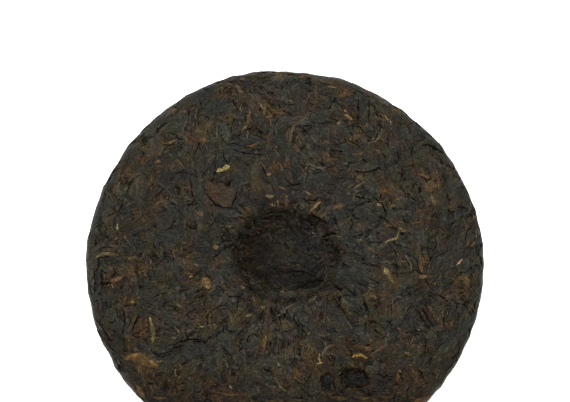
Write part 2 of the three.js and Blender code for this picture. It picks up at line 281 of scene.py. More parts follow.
class Nodes:
    """A short way to write a node material."""

    def __init__(self, name):
        self.material = bpy.data.materials.new(name)
        self.material.use_nodes = True
        self.tree = self.material.node_tree
        self.shader = self.tree.nodes["Principled BSDF"]

    def put(self, sockets, values):
        """Links or sets inputs, given by name or number."""
        for key, value in values.items():
            if isinstance(value, bpy.types.NodeSocket):
                self.tree.links.new(value, sockets[key])
            else:
                sockets[key].default_value = value

    def surface(self, values):
        self.put(self.shader.inputs, values)

    def add(self, kind, output, values, **settings):
        """One output of a new node."""
        node = self.tree.nodes.new(kind)
        for key, value in settings.items():
            setattr(node, key, value)
        self.put(node.inputs, values)
        return node.outputs[output]

    def place(self):
        return self.add("ShaderNodeTexCoord", "Object", {})

    def attribute(self, name):
        return self.add("ShaderNodeAttribute", "Fac", {}, attribute_name=name)

    def noise(self, vector, scale, detail=3.0, roughness=0.55):
        values = {"Vector": vector, "Scale": scale, "Detail": detail, "Roughness": roughness}
        return self.add("ShaderNodeTexNoise", "Fac", values)

    def stretched(self, vector, scale):
        return self.add("ShaderNodeMapping", "Vector", {"Vector": vector, "Scale": scale})

    def ramp(self, value, stops):
        """Colours by value, each stop a value and its red, green and blue."""
        colours = self.add("ShaderNodeValToRGB", "Color", {"Fac": value})
        elements = colours.node.color_ramp.elements
        while len(elements) < len(stops):
            elements.new(0.5)
        for element, (place, *colour) in zip(elements, stops):
            element.position = place
            element.color = (*colour, 1.0)
        return colours

    def spread(self, value, low, high, to_low, to_high):
        values = {"Value": value, "From Min": low, "From Max": high, "To Min": to_low, "To Max": to_high}
        return self.add("ShaderNodeMapRange", "Result", values)

    def maths(self, how, a, b=0.0):
        return self.add("ShaderNodeMath", "Value", {0: a, 1: b}, operation=how)

    def mixed(self, below, above, share=1.0, how="MIX"):
        values = {"Factor": share, 6: below, 7: above}
        return self.add("ShaderNodeMix", 2, values, data_type="RGBA", blend_type=how)

    def lines(self, noise):
        """How far a noise is from its middle value: near 0 along thin winding lines."""
        return self.maths("ABSOLUTE", self.maths("SUBTRACT", noise, 0.5))

    def tinted(self, colour, factor):
        """A colour made lighter or darker by a factor about 1."""
        values = {0: colour, "Scale": factor}
        return self.add("ShaderNodeVectorMath", "Vector", values, operation="SCALE")

    def bump(self, height, distance, **below):
        """A bumped normal, above the Normal in below where there is one."""
        values = {"Height": height, "Distance": distance, "Strength": 1.0}
        return self.add("ShaderNodeBump", "Normal", values | below)


# Hues from blue-grey through even to brown and red-brown, as factors of a leaf's colour
HUES = [
    (0.0, 0.79, 1.0, 1.22), (0.25, 0.91, 1.01, 1.05), (0.5, 1.02, 1.005, 0.87), (0.75, 1.16, 0.985, 0.64),
    (1.0, 1.29, 0.955, 0.46),
]
BROWN_HUES = [(0.0, 0.9, 1.02, 1.15), (0.5, 1.01, 1.01, 0.92), (1.0, 1.2, 0.95, 0.45)]
YELLOW_HUES = [
    (0.0, 0.96, 1.01, 0.47), (0.4, 1.0, 1.0, 0.88), (0.7, 0.98, 1.0, 1.1), (1.0, 1.05, 0.97, 1.06),
]
# Casts from plum to olive, which differ a little by leaf and by place, and tints that warm what is
# darkened, by painted shade and by streaks and grain, and cool what is lightest, as a painted sheen
CASTS = [(0.0, 1.1, 0.89, 1.05), (0.5, 1.0, 1.0, 1.0), (1.0, 0.94, 1.09, 0.87)]
SHADE_AND_SHEEN_TINTS = [
    (0.05, 1.14, 0.92, 0.58), (0.25, 1.08, 0.97, 0.8), (0.5, 1.0, 1.0, 1.0), (0.8, 0.95, 1.0, 1.14),
]
# The pale tan of flecks and curled sides, which are partly painted glints
TAN_AND_GLINT = (*display(80, 72, 60), 1.0)
# The scales of the noises, for each metre: mottling, the core's lumps, drift of the cast, flecks and grain
MOTTLING = 230.0
CORE_LUMPS = 700.0
DRIFT = 110.0
FLECKS = 620.0
GRAINS = 1050.0
# How deep the wrinkles, the core's lumps, and the creases, veins and grain are, in metres
WRINKLE = 0.0006
CORE_RELIEF = 0.0005
CREASE = 0.0002
VEIN = 0.00012
GRAIN = 0.00016
# How much the grain changes the roughness
ROUGHER = 0.14


def leaf_material(
    name,
    stops,
    roughness=0.5,
    specular=0.17,
    streak=0.3,
    sunk=0.35,
    fleck_and_glint=0.3,
    crease_shade=0.32,
    rim=0.3,
    hues=HUES,
):
    """Dried leaf: a tone and a hue for each leaf, mottled, with faint veins and wrinkles.

    Painted shade darkens its creases, its fine ribs, its edges, which it turns brown, and what lies sunk
    below the pressed surface. Its pale flecks and curled side are partly painted glints. The stops are
    places on the scale of tones and colours as on a screen. The leaf's own UV runs along it and across it
    in millimetres."""
    n = Nodes(name)
    place = n.place()
    lengthwise = n.add("ShaderNodeUVMap", "UV", {}, uv_map="leaf")
    streaks = n.noise(n.stretched(lengthwise, (0.25, 0.9, 1)), 1.0, 4, 0.7)
    wrinkles = n.noise(n.stretched(lengthwise, (0.5, 1.1, 1)), 0.8, 3, 0.6)
    creases = n.lines(n.noise(n.stretched(lengthwise, (0.2, 0.4, 1)), 1.0, 3, 0.65))
    ribs = n.lines(n.noise(n.stretched(lengthwise, (0.09, 0.8, 1)), 1.0, 2, 0.6))
    mottling = n.noise(place, MOTTLING, 3)
    grain = n.noise(place, GRAINS, 2, 0.7)
    depth = n.attribute("sunk")
    # The leaf's own colour by its tone, then flecks and curled sides of pale tan, partly painted glints
    value = n.maths("ADD", n.attribute("tone"), n.spread(mottling, 0.35, 0.65, -0.15, 0.15))
    value = n.maths("ADD", value, n.spread(streaks, 0.38, 0.62, -0.1, 0.1))
    colour = n.ramp(value, [(stop, *display(*shade)) for stop, *shade in stops])
    flecks_and_glints = n.spread(n.noise(place, FLECKS, 3, 0.6), 0.58, 0.72, 0.0, fleck_and_glint)
    side = n.maths("ADD", n.attribute("side"), n.spread(grain, 0.3, 0.7, -0.2, 0.2))
    curled = n.spread(side, 0.3, 0.75, 0.0, 1.0)
    curled = n.maths("MULTIPLY", curled, n.spread(mottling, 0.46, 0.58, 0.0, fleck_and_glint * 2))
    colour = n.mixed(colour, TAN_AND_GLINT, n.maths("MAXIMUM", flecks_and_glints, curled))
    # Its hue and cast, and how light it is
    colour = n.mixed(colour, n.ramp(n.attribute("hue"), hues), how="MULTIPLY")
    drift = n.spread(n.noise(place, DRIFT, 2), 0.34, 0.66, -0.26, 0.26)
    cast = n.maths("ADD", n.attribute("cast"), drift)
    colour = n.mixed(colour, n.ramp(cast, CASTS), how="MULTIPLY")
    factor = n.spread(streaks, 0.38, 0.62, 1 - streak, 1 + streak)
    # Streaks and grain, then painted shade: darker along creases and ribs, at the outline of each side,
    # and where the leaf lies sunk below the pressed surface, more so deep down
    for cause, low, high, at_low, at_high in (
        (grain, 0.35, 0.65, 0.58, 1.42),
        (creases, 0.0, 0.045, crease_shade, 1.0),
        (ribs, 0.0, 0.04, crease_shade + (1 - crease_shade) * 0.4, 1.0),
        (n.maths("ABSOLUTE", side), 0.76, 0.94, 1.0, rim),
        (depth, 0.04, 0.6, 1.0, sunk),
        (depth, 0.7, 1.5, 1.0, 0.25),
    ):
        factor = n.maths("MULTIPLY", factor, n.spread(cause, low, high, at_low, at_high))
    # What is darkened is tinted warmer, as painted shade, and what is lightest cooler, as a painted sheen
    shade = n.maths("MULTIPLY", factor, 0.5)
    colour = n.mixed(colour, n.ramp(shade, SHADE_AND_SHEEN_TINTS), how="MULTIPLY")
    # Lighter or darker by place, with painted light on the dimple's wall
    factor = n.maths("MULTIPLY", factor, n.attribute("light"))
    relief = n.bump(wrinkles, WRINKLE)
    relief = n.bump(n.spread(creases, 0.0, 0.1, 0.0, 1.0), CREASE, Normal=relief)
    relief = n.bump(streaks, VEIN, Normal=relief)
    n.surface(
        {
            "Base Color": n.tinted(colour, factor),
            "Roughness": n.spread(grain, 0.3, 0.7, roughness - ROUGHER, roughness + ROUGHER),
            "Specular IOR Level": specular,
            "Normal": n.bump(grain, GRAIN, Normal=relief),
        }
    )
    return n.material


# What the duller kinds share, and what golden and brown leaves share
MATT = {"roughness": 0.6, "streak": 0.2, "fleck_and_glint": 0.12}
BROWNISH = {"crease_shade": 0.6, "rim": 0.55, "hues": BROWN_HUES}

DARK = leaf_material(
    "dark_leaf",
    [(0.0, 25, 21, 15), (0.3, 36, 32, 22), (0.6, 47, 42, 30), (0.85, 57, 50, 35), (1.0, 68, 57, 40)],
)
BLADE = leaf_material(
    "leaf_blade",
    [(0.0, 32, 28, 20), (0.5, 43, 39, 29), (1.0, 55, 49, 36)],
    streak=0.14,
    fleck_and_glint=0.16,
)
SHRED = leaf_material(
    "leaf_shred",
    [(0.0, 18, 15, 10), (0.4, 36, 30, 21), (0.7, 56, 47, 34), (1.0, 84, 72, 53)],
)
# The dimple's leaves: darker than the rest, as painted shade of the dimple, and less glossy
DULL_SHADED = leaf_material(
    "shaded_dimple_leaf",
    [(0.0, 19, 15, 12), (0.5, 29, 26, 21), (1.0, 44, 40, 33)],
    specular=0.1,
    sunk=0.6,
    **MATT,
)
# Near-black: partly black leaf edges and veins, partly painted shade in gaps, in the pleats' folds and in
# cracks
EDGE_AND_GAP_SHADE = leaf_material(
    "leaf_edge_and_gap_shade",
    [(0.0, 12, 9, 6), (1.0, 25, 19, 12)],
    roughness=0.75,
    specular=0.04,
    fleck_and_glint=0.1,
)
BROWN = leaf_material(
    "brown_leaf",
    [(0.0, 39, 31, 20), (0.5, 58, 48, 35), (1.0, 80, 69, 55)],
    specular=0.14,
    **MATT,
    **BROWNISH,
)
GOLD = leaf_material(
    "golden_tip",
    [(0.0, 44, 34, 21), (0.5, 74, 61, 44), (1.0, 126, 109, 82)],
    specular=0.18,
    **MATT,
    **BROWNISH,
)
PALE = leaf_material(
    "pale_stem",
    [(0.0, 50, 44, 33), (0.5, 80, 71, 56), (1.0, 157, 143, 112)],
    roughness=0.55,
    specular=0.2,
    streak=0.2,
    fleck_and_glint=0.12,
    crease_shade=0.75,
    rim=0.65,
    hues=YELLOW_HUES,
)


def core_material():
    """The crushed dark leaf that shows in the gaps."""
    n = Nodes("crushed_leaf")
    lumps = n.noise(n.place(), CORE_LUMPS, 4)
    n.surface(
        {
            "Base Color": n.ramp(lumps, [(0.3, *display(16, 13, 9)), (0.75, *display(44, 36, 25))]),
            "Roughness": 0.8,
            "Specular IOR Level": 0.15,
            "Normal": n.bump(lumps, CORE_RELIEF),
        }
    )
    return n.material


# The core, just under the leaves

CORE_RINGS = 84
CORE_SEGMENTS = 210
CORE_SINK = 0.75
# The relief of the crushed leaf: waves that lie any way, and their height
RELIEF_WAVES = 14
RELIEF = 0.07
# The core stays this far above what the cake lies on
CORE_FLOOR = 0.3


def core():
    """The cake's body, with the relief of crushed leaf."""
    draw = np.random.default_rng(SEED)
    distance = np.linspace(0, TOTAL, CORE_RINGS)[1:-1]
    angle = np.linspace(0, 2 * math.pi, CORE_SEGMENTS, endpoint=False)
    d, a = np.meshgrid(distance, angle, indexing="ij")
    flat = skin(d, a)
    relief = np.zeros(d.shape)
    for _ in range(RELIEF_WAVES):
        wave = draw.normal(0, 1.1, 3)
        relief += RELIEF * np.sin(flat @ wave + draw.uniform(0, 6.3))
    points = raised(d, a, relief - CORE_SINK).reshape(-1, 3)
    points = np.vstack([points, [0, 0, CORE_SINK], [0, 0, DIMPLE_FLOOR - CORE_SINK]])
    points[:, 2] = np.maximum(points[:, 2], CORE_FLOOR)
    return mesh_object("tea_core", points, closed_rings(*d.shape), core_material())


# Leaves, each a closed thin strip with pointed ends


def spread_over(draw, count, low, high):
    """Places spread evenly over the skin between two distances along the section, in a shuffled order."""
    d = np.linspace(low, high, 2000)
    area = np.cumsum(np.interp(d, LENGTHS, RADII))
    share = (np.arange(count) + draw.uniform(0.1, 0.9, count)) / count
    distance = np.interp(share * area[-1], area, d)
    turn = math.pi * (3 - math.sqrt(5))
    angle = np.arange(count) * turn + draw.normal(0, 0.05, count)
    order = draw.permutation(count)
    return distance[order], (angle % (2 * math.pi))[order]


# The side of the dimple about which most leaves run outwards
PLEATED_SIDE = math.radians(-40)
# How much leaves of one direction differ, and how many are in bundles, outwards by the dimple and
# along the rim
SPRAY = 0.35
BUNDLED = 0.5
OUTWARDS = 0.7
ALONG_RIM = 0.6
# The radii where leaves begin to run outwards and cease to, and where they begin to follow the rim
OUTWARDS_FROM = (20, 28)
OUTWARDS_TO = (38, 62)
RIM_FROM = (84, 95)


def headings(draw, distance, angle):
    """Leaf directions: along the rim, outwards near the dimple, in loose bundles or any way elsewhere."""
    count = len(distance)
    radius, x, y = seen_from_above(distance, angle)
    bundle = 1.7 * np.sin(x / 19 + 0.7) + 1.4 * np.sin(y / 23 + x / 41 + 2) + 1.2 * np.sin((x - y) / 29)
    bundle += draw.normal(0, SPRAY, count) - angle - math.pi / 2
    free = draw.uniform(0, 2 * math.pi, count)
    heading = np.where(draw.uniform(0, 1, count) < BUNDLED, bundle, free)
    outwards = draw.choice([-1, 1], count) * math.pi / 2 + draw.normal(0, SPRAY, count)
    pull = (1 - smooth(*OUTWARDS_TO, radius)) * smooth(*OUTWARDS_FROM, radius) * OUTWARDS
    pull = pull * (0.25 + 0.75 * smooth(-0.6, 0.6, np.cos(angle - PLEATED_SIDE)))
    on_back = distance > BACK_START
    heading = np.where(on_back & (draw.uniform(0, 1, count) < pull), outwards, heading)
    round_rim = draw.choice([0, math.pi], count) + draw.normal(0, SPRAY, count)
    along_rim = draw.uniform(0, 1, count) < smooth(*RIM_FROM, radius) * ALONG_RIM
    at_rim = (distance > BELLY_END) & (distance < BACK_START)
    return np.where(at_rim | along_rim, round_rim, heading)


# Patches that are lighter than the rest, by reach in millimetres: x, y and per cent
# They are partly the leaf's own tone and partly painted light and shade, such as a painted sheen on the
# far rim and painted shade along the front edge
LIGHTER = {
    3: [
        (-10, 28, -40), (-58, 30, 30), (31, -24, -30), (9, -26, -40), (-5, 28, -40), (-23, 30, -30),
        (28, -72, -30), (28, -53, -50), (27, -52, -30), (29, 17, -30), (45, 6, -25),
    ],
    4: [
        (14, 49, 5), (15, 28, 5), (27, 27, 5), (37, 39, 5), (-66, 50, 5), (-63, 24, 80), (-8, -38, -35),
        (-21, 28, -35), (17, 34, -55), (34, -8, -30), (27, 23, -20), (-29, 76, -30), (48, -7, -20),
        (-23, -24, 45), (8, -31, 30), (-26, -17, 15), (-20, 3, 40), (-63, 78, 20), (36, 12, 20),
        (50, 28, 15), (26, -27, 15), (12, 44, 15), (83, -31, -30), (84, 34, -30), (30, -72, -30),
        (65, -40, 30), (-49, -28, 30), (-67, -37, 25), (46, -51, 35), (-83, -55, 20), (73, 7, 75),
        (48, 46, -20), (-42, 54, 30), (38, -56, 30), (18, -61, 50), (-85, 6, 30), (61, 42, 30),
        (-59, -51, 30), (-26, 67, 30), (-67, 15, 25), (-92, -34, 30), (-33, 59, 25), (-58, 30, 30),
        (8, -38, 30), (-8, 22, 40), (34, -31, 20), (37, 13, 30), (12, 78, 30), (64, -40, 25),
        (-53, -59, 30), (12, 65, 25), (-32, 59, 25), (-20, -49, 25), (-83, -54, 30), (12, 46, 30),
        (76, 32, 30), (92, 36, 30), (89, -23, 30), (-46, -29, 30), (-71, -6, 30), (-22, -46, 30),
        (28, 0, 25), (-32, 14, 25), (34, -30, 30), (-11, 28, -50), (-43, -4, -75), (-49, 16, -25),
        (-94, -32, 40), (93, 29, -40), (52, 40, -50), (19, -72, -60), (-34, -24, -20), (-37, 24, -25),
        (-30, -62, -15), (37, 34, 30), (-65, -55, 10), (24, -24, 30), (22, 43, -15), (16, 12, -20),
        (62, -12, -30), (60, 64, -25), (77, -36, -30), (93, -2, -20), (26, -16, -60), (9, 31, -10),
        (51, -12, 15), (-31, -21, -10), (99, 12, -20), (54, 8, -25), (-41, 24, -25), (-79, -61, -30),
        (-89, 27, -25), (53, 65, -25), (-38, 85, -30), (-6, 92, -50),
    ],
    5: [
        (4, 63, 5), (-4, 46, 5), (23, 51, 8), (34, 76, 5), (49, 36, 8), (54, 31, 5), (-41, -13, 5),
        (-70, -38, 5), (-10, -42, 5), (72, -3, 5), (44, -21, 10), (-20, -42, -3), (20, 0, -30),
        (0, -26.5, -90), (-3, -31, 55), (-28, 2, -25), (26, -14, -15), (12, -18, -25), (-75, 61, 110),
        (50, -28, 12), (-25, 85, 12), (-45, -32, 12), (-70, -55, 12), (5, 88, -35), (82, -57, -40),
        (-24, -72, -15), (88, 47, 65), (21, 84, 50), (-49, 0, 45), (-76, -31, 60), (-8, 72, 35),
        (-26, 87, 30), (-28, -33, 55), (66, 73, 30), (70, -49, 35), (14, 17, 70), (-66, -55, 30),
        (-33, 95, 40), (-43, -72, -20), (5, -73, -40), (54, -73, -40), (59, -72, -30), (-47, 8, -30),
        (90, -43, -65), (94, -32, -25), (-90, -44, 40), (37, 92, -45), (18, -20, 40), (100, -2, 40),
        (100, 2, -20),
    ],
    6: [
        (38, 62, 5), (69, 44, 5), (75, 36, 8), (65, 55, 5), (-78, 46, 5), (-46, 65, 5), (-84, 16, 5),
        (-49, 2, 8), (-44, 12, 5), (-40, -33, 5), (17, -53, 5), (36, -50, 20), (20, -32, 8), (54, 46, -3),
        (-96, 15, -5), (-92, -40, -5), (24, 20, -25), (20, 29, -8), (-19, -19, -60), (-3, 22, 30),
        (15, 15, 90), (-81, 38, 70), (96, -26, -25), (46, -64, -80), (46, 74, 80), (-46, 64, 60),
        (-20, 78, 60), (-57, -72, -40), (-29, -73, -50), (-64, -73, -40), (-42, -74, -30), (-75, -46, -35),
        (99, -12, -30), (-68, -70, -30), (68, -72, -30), (-63, -72, -10), (26, -72, -30), (-42, 7, -30),
        (-59, 38, -75), (-20, 91, -55),
    ],
    7: [(-8, 78, 5), (-60, 60, 8), (16, 66, -3), (-53, -47, -3), (60, -25, -3), (-78, -3, 12)],
    8: [(-26, 52, -3), (-28, 20, -30), (-36, 4, -16), (5, -48, 110), (-47, 89, -85)],
    9: [
        (-70, 71, -5), (73, 68, -5), (-58, 20, -3), (-10, 38, -14), (30, 36, -16), (2, 31, -32),
        (-10, -55, 8), (1, 99, 160),
    ],
    10: [(4, 3, 10)],
    12: [(72, -60, -12)],
    14: [(-45, -72, -24), (40, -74, -16)],
    30: [(-40, -45, 3)],
}
# Patches that are browner, in the same way
BROWNER = {
    3: [
        (-52, 62, -50), (42, -56, -50), (59, -10, -40), (54, 34, -40), (-22, -51, 50), (-16, 25, 40),
        (23, 13, -50), (-40, -33, -30), (-47, -32, -40),
    ],
    4: [
        (14, 49, 40), (-62, 56, -50), (-47, -31, -40), (-1, 72, -50), (-76, -32, -50), (41, -18, -40),
        (-7, 61, -50), (-55, -26, -50), (68, 51, -50), (15, 28, 20), (27, 27, 40), (37, 39, 40),
        (-66, 50, 30), (-62, 44, -30), (-63, 24, 40), (-88, -7, -40), (64, 9, -40), (84, -21, -40),
        (-2, 69, -40), (-63, 78, -20), (50, 28, 10), (12, 44, 10), (-9, 35, -30), (-30, -62, 10),
        (-99, -10, 60), (10, 97, 60), (17, -52, 30), (-51, -52, 40), (-70, 61, 40), (-67, -39, 130),
        (-72, -52, 60), (-84, 8, 50), (-70, 14, 50), (50, -62, 60), (31, -58, 50), (-18, 68, 50),
        (-46, 36, 50), (-55, 29, 50), (74, 16, 50), (58, 69, 50), (-66, -40, 50), (61, -49, 50),
        (58, 41, 80), (64, 61, 40), (24, 86, 40), (37, 34, 30), (-65, -55, 30), (-75, -26, 40),
        (-30, 44, 30), (76, 34, 60), (-76, -23, 50), (-72, 37, 50), (-48, -22, 30), (-21, -51, 30),
        (1, -40, 30), (51, -12, 80), (93, 7, 40), (-38, -73, 80), (51, 51, 40), (-68, -21, -40),
        (-31, -21, -50), (17, 52, -50), (-17, 52, -40), (-1, 71, -40), (0, 62, -40), (7, -66, -40),
        (-90, 18, -50), (32, -43, -50), (-40, 41, -50), (-57, 66, -40), (15, 59, -40), (12, 53, -40),
        (71, -39, -40), (57, -44, -40), (45, -36, -40), (46, 26, -30), (-38, 85, -30), (-33, -51, -60),
        (29, 15, -40), (38, -20, -30), (-10, -52, -40), (16, -29, -40), (71, 28, -40), (17, 32, -50),
        (-6, 92, -30),
    ],
    5: [
        (4, 63, 55), (-4, 46, 60), (23, 51, 50), (34, 76, 40), (29, 88, 40), (49, 36, 50), (54, 31, 30),
        (57, 18, -50), (-41, -13, 50), (-17, 33, 25), (-51, -26, 50), (-25, -31, 20), (-70, -38, 60),
        (-10, -42, 50), (5, -61, 70), (72, -3, -30), (44, -21, 50), (66, -20, 30), (42, 30, -50),
        (33, 22, -45), (-29, 21, -50), (-20, -42, -60), (51, 51, 20), (0, -26.5, 10), (-25, 85, 30),
        (-45, -32, 10), (-70, -55, 30), (5, 88, -10), (-24, -72, 20), (-26, 87, 30), (-1, -71, 90),
        (-19, 99, 70), (3, 95, -50), (10, 99, 50), (-67, 19, 80), (50, -70, 90), (41, -72, 100),
        (56, 70, 40), (54, -60, 160), (49, -68, 90), (-33, -72, 70), (36, -71, 70), (84, -50, 40),
        (18, -20, 60), (40, 58, 30), (-36, 60, -40), (-50, 19, -30), (-28, 75, -50), (2, 88, -30),
        (56, 20, -40), (-100, 0, -50), (3, -49, -30), (100, -2, -40), (100, 2, -50), (-46, -62, -40),
        (-96, -21, -30), (-94, 33, -30), (-92, 32, -40), (20, 97, -50),
    ],
    6: [
        (38, 62, 40), (69, 44, 50), (75, 36, 45), (65, 55, 20), (2, -49, -40), (-78, 46, 50),
        (-68, 35, 35), (-46, 65, 50), (-84, 16, 50), (-84, -13, 30), (-49, 2, 50), (-44, 12, 30),
        (-40, -33, 45), (17, -53, 70), (36, -50, 110), (57, -62, 70), (52, -11, 40), (90, -13, 60),
        (20, -32, 10), (-58, 40, -40), (45, -3, -35), (-30, -9, -50), (10, -33, -50), (54, 46, -40),
        (-96, 15, -50), (-96, -17, -50), (-92, -40, -20), (99, 8, -40), (-19, -19, 10), (-81, 38, 10),
        (46, -64, -30), (-46, 64, 20), (-29, -73, 40), (-68, -70, 160), (68, -72, 220), (-2, 101, 80),
        (-63, -72, 80), (26, -72, 300), (-42, 7, -20), (-36, -51, -50), (-57, -68, 80), (78, 60, -40),
    ],
    7: [(-8, 78, 60), (-60, 60, 40), (16, 66, -60), (36, 8, -60), (-53, -47, -60), (60, -25, -30)],
    8: [
        (-78, -7, 30), (-76, -48, -10), (-32, -71, 55), (-26, 52, -50), (33, -12, -60), (88, 55, -50),
        (-47, 89, -40),
    ],
    9: [(-52, -60, 20), (-70, 71, -50), (73, 68, -50), (-58, 20, -35)],
    12: [(72, -60, 25)],
    14: [(-45, -72, 35), (40, -74, 45)],
}
# Patches that are plummer or more olive, in the same way
MORE_OLIVE = {
    4: [(52, -13, 25), (-65, 27, 35)],
    5: [
        (-4, -62, -25), (36, -6, -25), (-16, -43, -30), (-26, -67, -30), (-4, 22, -30), (49, -42, -30),
        (-78, 19, 25),
    ],
    6: [(-29, -45, -40), (90, -42, 35), (-65, -38, -40), (-54, 85, 30)],
    7: [(5, 98, 30)],
    8: [(29, -36, -35)],
    9: [(80, -58, 60)],
}
PATCH_STRENGTH = 1.28
# Where the part that shows begins, a little under the widest place
SHOWN_FROM = LENGTHS[WIDEST] - 3
# The leaf about each golden or brown one that is listed one by one is browner too
BROWN_HALO = 0.22
BROWN_REACH = 3.5
# How brown the leaf is on the whole, and how much small patches differ
BROWN_MEAN = 0.46
BROWN_WAVES = 0.2
# The dimple's lip is darker: how much, and where
LIP_DARKER = 0.03
LIP_REACH = (29, 5)
# The dimple's wall gets painted light, which makes it lighter than its shade alone would, more so at its
# near and far sides, but for a dim stretch about one angle
WALL_PAINTED_LIGHT = 0.35
WALL_NEAR_PAINTED_LIGHT = 0.3
WALL_FAR_PAINTED_LIGHT = 0.7
WALL_REACH = (21.5, 5.0)
DIM_WALL = (math.radians(-50), 0.35)
# How brown the wall is, and the least and most brown that leaf can be
WALL_HUE = 0.0
HUE_LIMITS = (-0.4, 1.7)


def patched(patches, x, y):
    """What a table of patches adds up to at each place."""
    total = np.zeros(np.shape(x))
    for reach, spots in patches.items():
        for px, py, change in spots:
            total += change / 100 * np.exp(-((x - px) ** 2 + (y - py) ** 2) / reach**2)
    return total


def patchy(distance, angle):
    """How much lighter and how brown the leaf is about each place, with painted light on the dimple's
    wall.
    """
    radius, x, y = seen_from_above(distance, angle)
    wavy_x, wavy_y = x + 4 * np.sin(y / 5), y + 4 * np.sin(x / 6 + 1)
    waves = np.sin(wavy_x / 2.1 + 0.5) + np.sin(wavy_y / 2.4 + 2)
    waves += np.sin((wavy_x + wavy_y) / 3.4) + np.sin((wavy_x - wavy_y) / 4.6 + 4)
    on_back = distance > BACK_START
    shown = distance > SHOWN_FROM
    lighter = patched(LIGHTER, x, y) * shown
    browner = BROWN_MEAN + BROWN_WAVES * waves + PATCH_STRENGTH * patched(BROWNER, x, y) * shown
    for px, py in BROWN_ABOUT:
        browner += BROWN_HALO * bell(np.hypot(x - px, y - py), 0, BROWN_REACH) * on_back
    lighter -= LIP_DARKER * bell(radius, *LIP_REACH) * on_back
    # Painted light on the dimple's wall
    wall = bell(radius, *WALL_REACH) * on_back
    dim = bell(np.angle(np.exp(1j * (angle - DIM_WALL[0]))), 0, DIM_WALL[1])
    wall_painted_light = WALL_PAINTED_LIGHT + WALL_NEAR_PAINTED_LIGHT * smooth(0, 0.6, -np.sin(angle))
    wall_painted_light += WALL_FAR_PAINTED_LIGHT * smooth(0, 0.6, np.sin(angle))
    lighter += wall_painted_light * wall * (1 - dim)
    browner += (WALL_HUE - browner) * wall
    return lighter, np.clip(browner, *HUE_LIMITS)


def cast_by_place(distance, angle):
    _, x, y = seen_from_above(distance, angle)
    return patched(MORE_OLIVE, x, y) * (distance > SHOWN_FROM)


# How much neighbours differ in hue, from narrow leaves to wide ones
HUE_SPREAD = (0.07, 0.17)
# The cast of most leaves, how much neighbours differ in it, and how it differs on the dimple's wall
CAST_MEAN = 0.53
CAST_SPREAD = 0.16
WALL_CAST = -0.3
# How much shorter leaves are on the dimple's wall
WALL_SHORTER = 0.4


def strewn(draw, count, places, length, width, hues=(0.15, 0.75), **more):
    """Many leaves of one kind, their sizes and hues drawn between limits."""
    distance, angle = spread_over(draw, count, *places)
    size = length[0] + (length[1] - length[0]) * draw.beta(1.6, 2.6, count)
    at_wall = bell(np.interp(distance, LENGTHS, RADII), *WALL_REACH) * (distance > BACK_START)
    size *= 1 - WALL_SHORTER * at_wall
    wide = draw.uniform(*width, count)
    leaves = {
        "distance": distance,
        "angle": angle,
        "heading": headings(draw, distance, angle),
        "length": size,
        "width": wide,
        "bend": draw.normal(0, 0.08, count) * size,
        "twist": draw.normal(0, 0.05, count) * size,
        "offset": np.zeros(count),
        "wobble": draw.uniform(0.05, 0.28, count),
        "level": draw.uniform(-0.5, 0.1, count),
        "cap": draw.uniform(-0.1, 0.14, count),
        "tilt": draw.normal(0, 0.035, count),
        "roll": draw.normal(0, 0.09, count),
        "crown": draw.uniform(0.2, 0.6, count),
        "ridge": draw.uniform(0.06, 0.26, count),
        "patched": np.ones(count),
        "tone": draw.beta(1.3, 1.4, count),
        "hue": hues[0] + draw.normal(0, 1, count) * np.interp(wide, (1, 4), HUE_SPREAD),
        "cast": CAST_MEAN + draw.normal(0, CAST_SPREAD, count) + WALL_CAST * at_wall,
        "hue_range": np.full(count, hues[1] - hues[0]),
        "blunt": draw.uniform(0.3, 0.85, count),
    }
    for key, (a, b) in more.items():
        leaves[key] = draw.uniform(a, b, count)
    return leaves


def joined(*groups):
    return {key: np.concatenate([g[key] for g in groups]) for key in groups[0]}


def picked(leaves, which):
    return {key: values[which] for key, values in leaves.items()}


def along_and_round(leaves, x, y):
    """Where points of the leaves lie on the skin: x runs along each leaf, and y across it."""
    d0, a0, heading = (leaves[key][:, None, None] for key in ("distance", "angle", "heading"))
    onward = x * np.sin(heading) + y * np.cos(heading)
    around = x * np.cos(heading) - y * np.sin(heading)
    radius = np.interp(d0, LENGTHS, RADII)
    distance = d0 + onward
    angle = a0 + around / np.maximum(np.interp(distance, LENGTHS, RADII), SMALLEST_TURN)
    # On the flatter faces a leaf keeps its shape as seen from above
    on_back = d0 > BACK_START
    inward = np.where(on_back, -1, 1)
    px = (radius + inward * onward) * np.cos(a0) - around * np.sin(a0)
    py = (radius + inward * onward) * np.sin(a0) + around * np.cos(a0)
    reach = np.hypot(px, py)
    flat = (on_back | (d0 < BELLY_END)) & (radius < FLAT_TO)
    flat &= ~(on_back & (radius > WALL_SPAN[0]) & (radius < WALL_SPAN[1]))
    flat_distance = np.where(on_back, back_distance(reach), belly_distance(reach))
    distance = np.where(flat, flat_distance, distance)
    angle = np.where(flat, np.arctan2(py, px), angle)
    return distance, angle


def pressed(height, cap, give=0.07):
    """A height off the skin, pressed down towards a cap with a soft shoulder."""
    return cap - give * np.logaddexp(0, (cap - height) / give)


# How uneven the two sides of a leaf are, as a share of its width
TEAR = 0.2
# The radius that the flatter faces reach, and the radii between which the dimple's wall lies
FLAT_TO = 86
WALL_SPAN = (13, 34)
# How far a leaf's keel and ends lie below it, how much its sides droop, and how uneven its points are
KEEL = 0.25
END_DROP = 0.2
SIDE_DROOP = 0.15
LENGTHWISE_JITTER = 0.02
LUMPS = 0.07
# How full a leaf's outline is between its pointed ends
FULLNESS = 2.2
# A leaf keeps this far above what the cake lies on, counted from its cap
CLEARANCE = 0.13
# Leaf this far below the pressed surface gets painted shade, and the hollows add to that shade by this
# share
PAINTED_SHADE_FROM = 0.12
HOLLOW_SHADE = 0.6


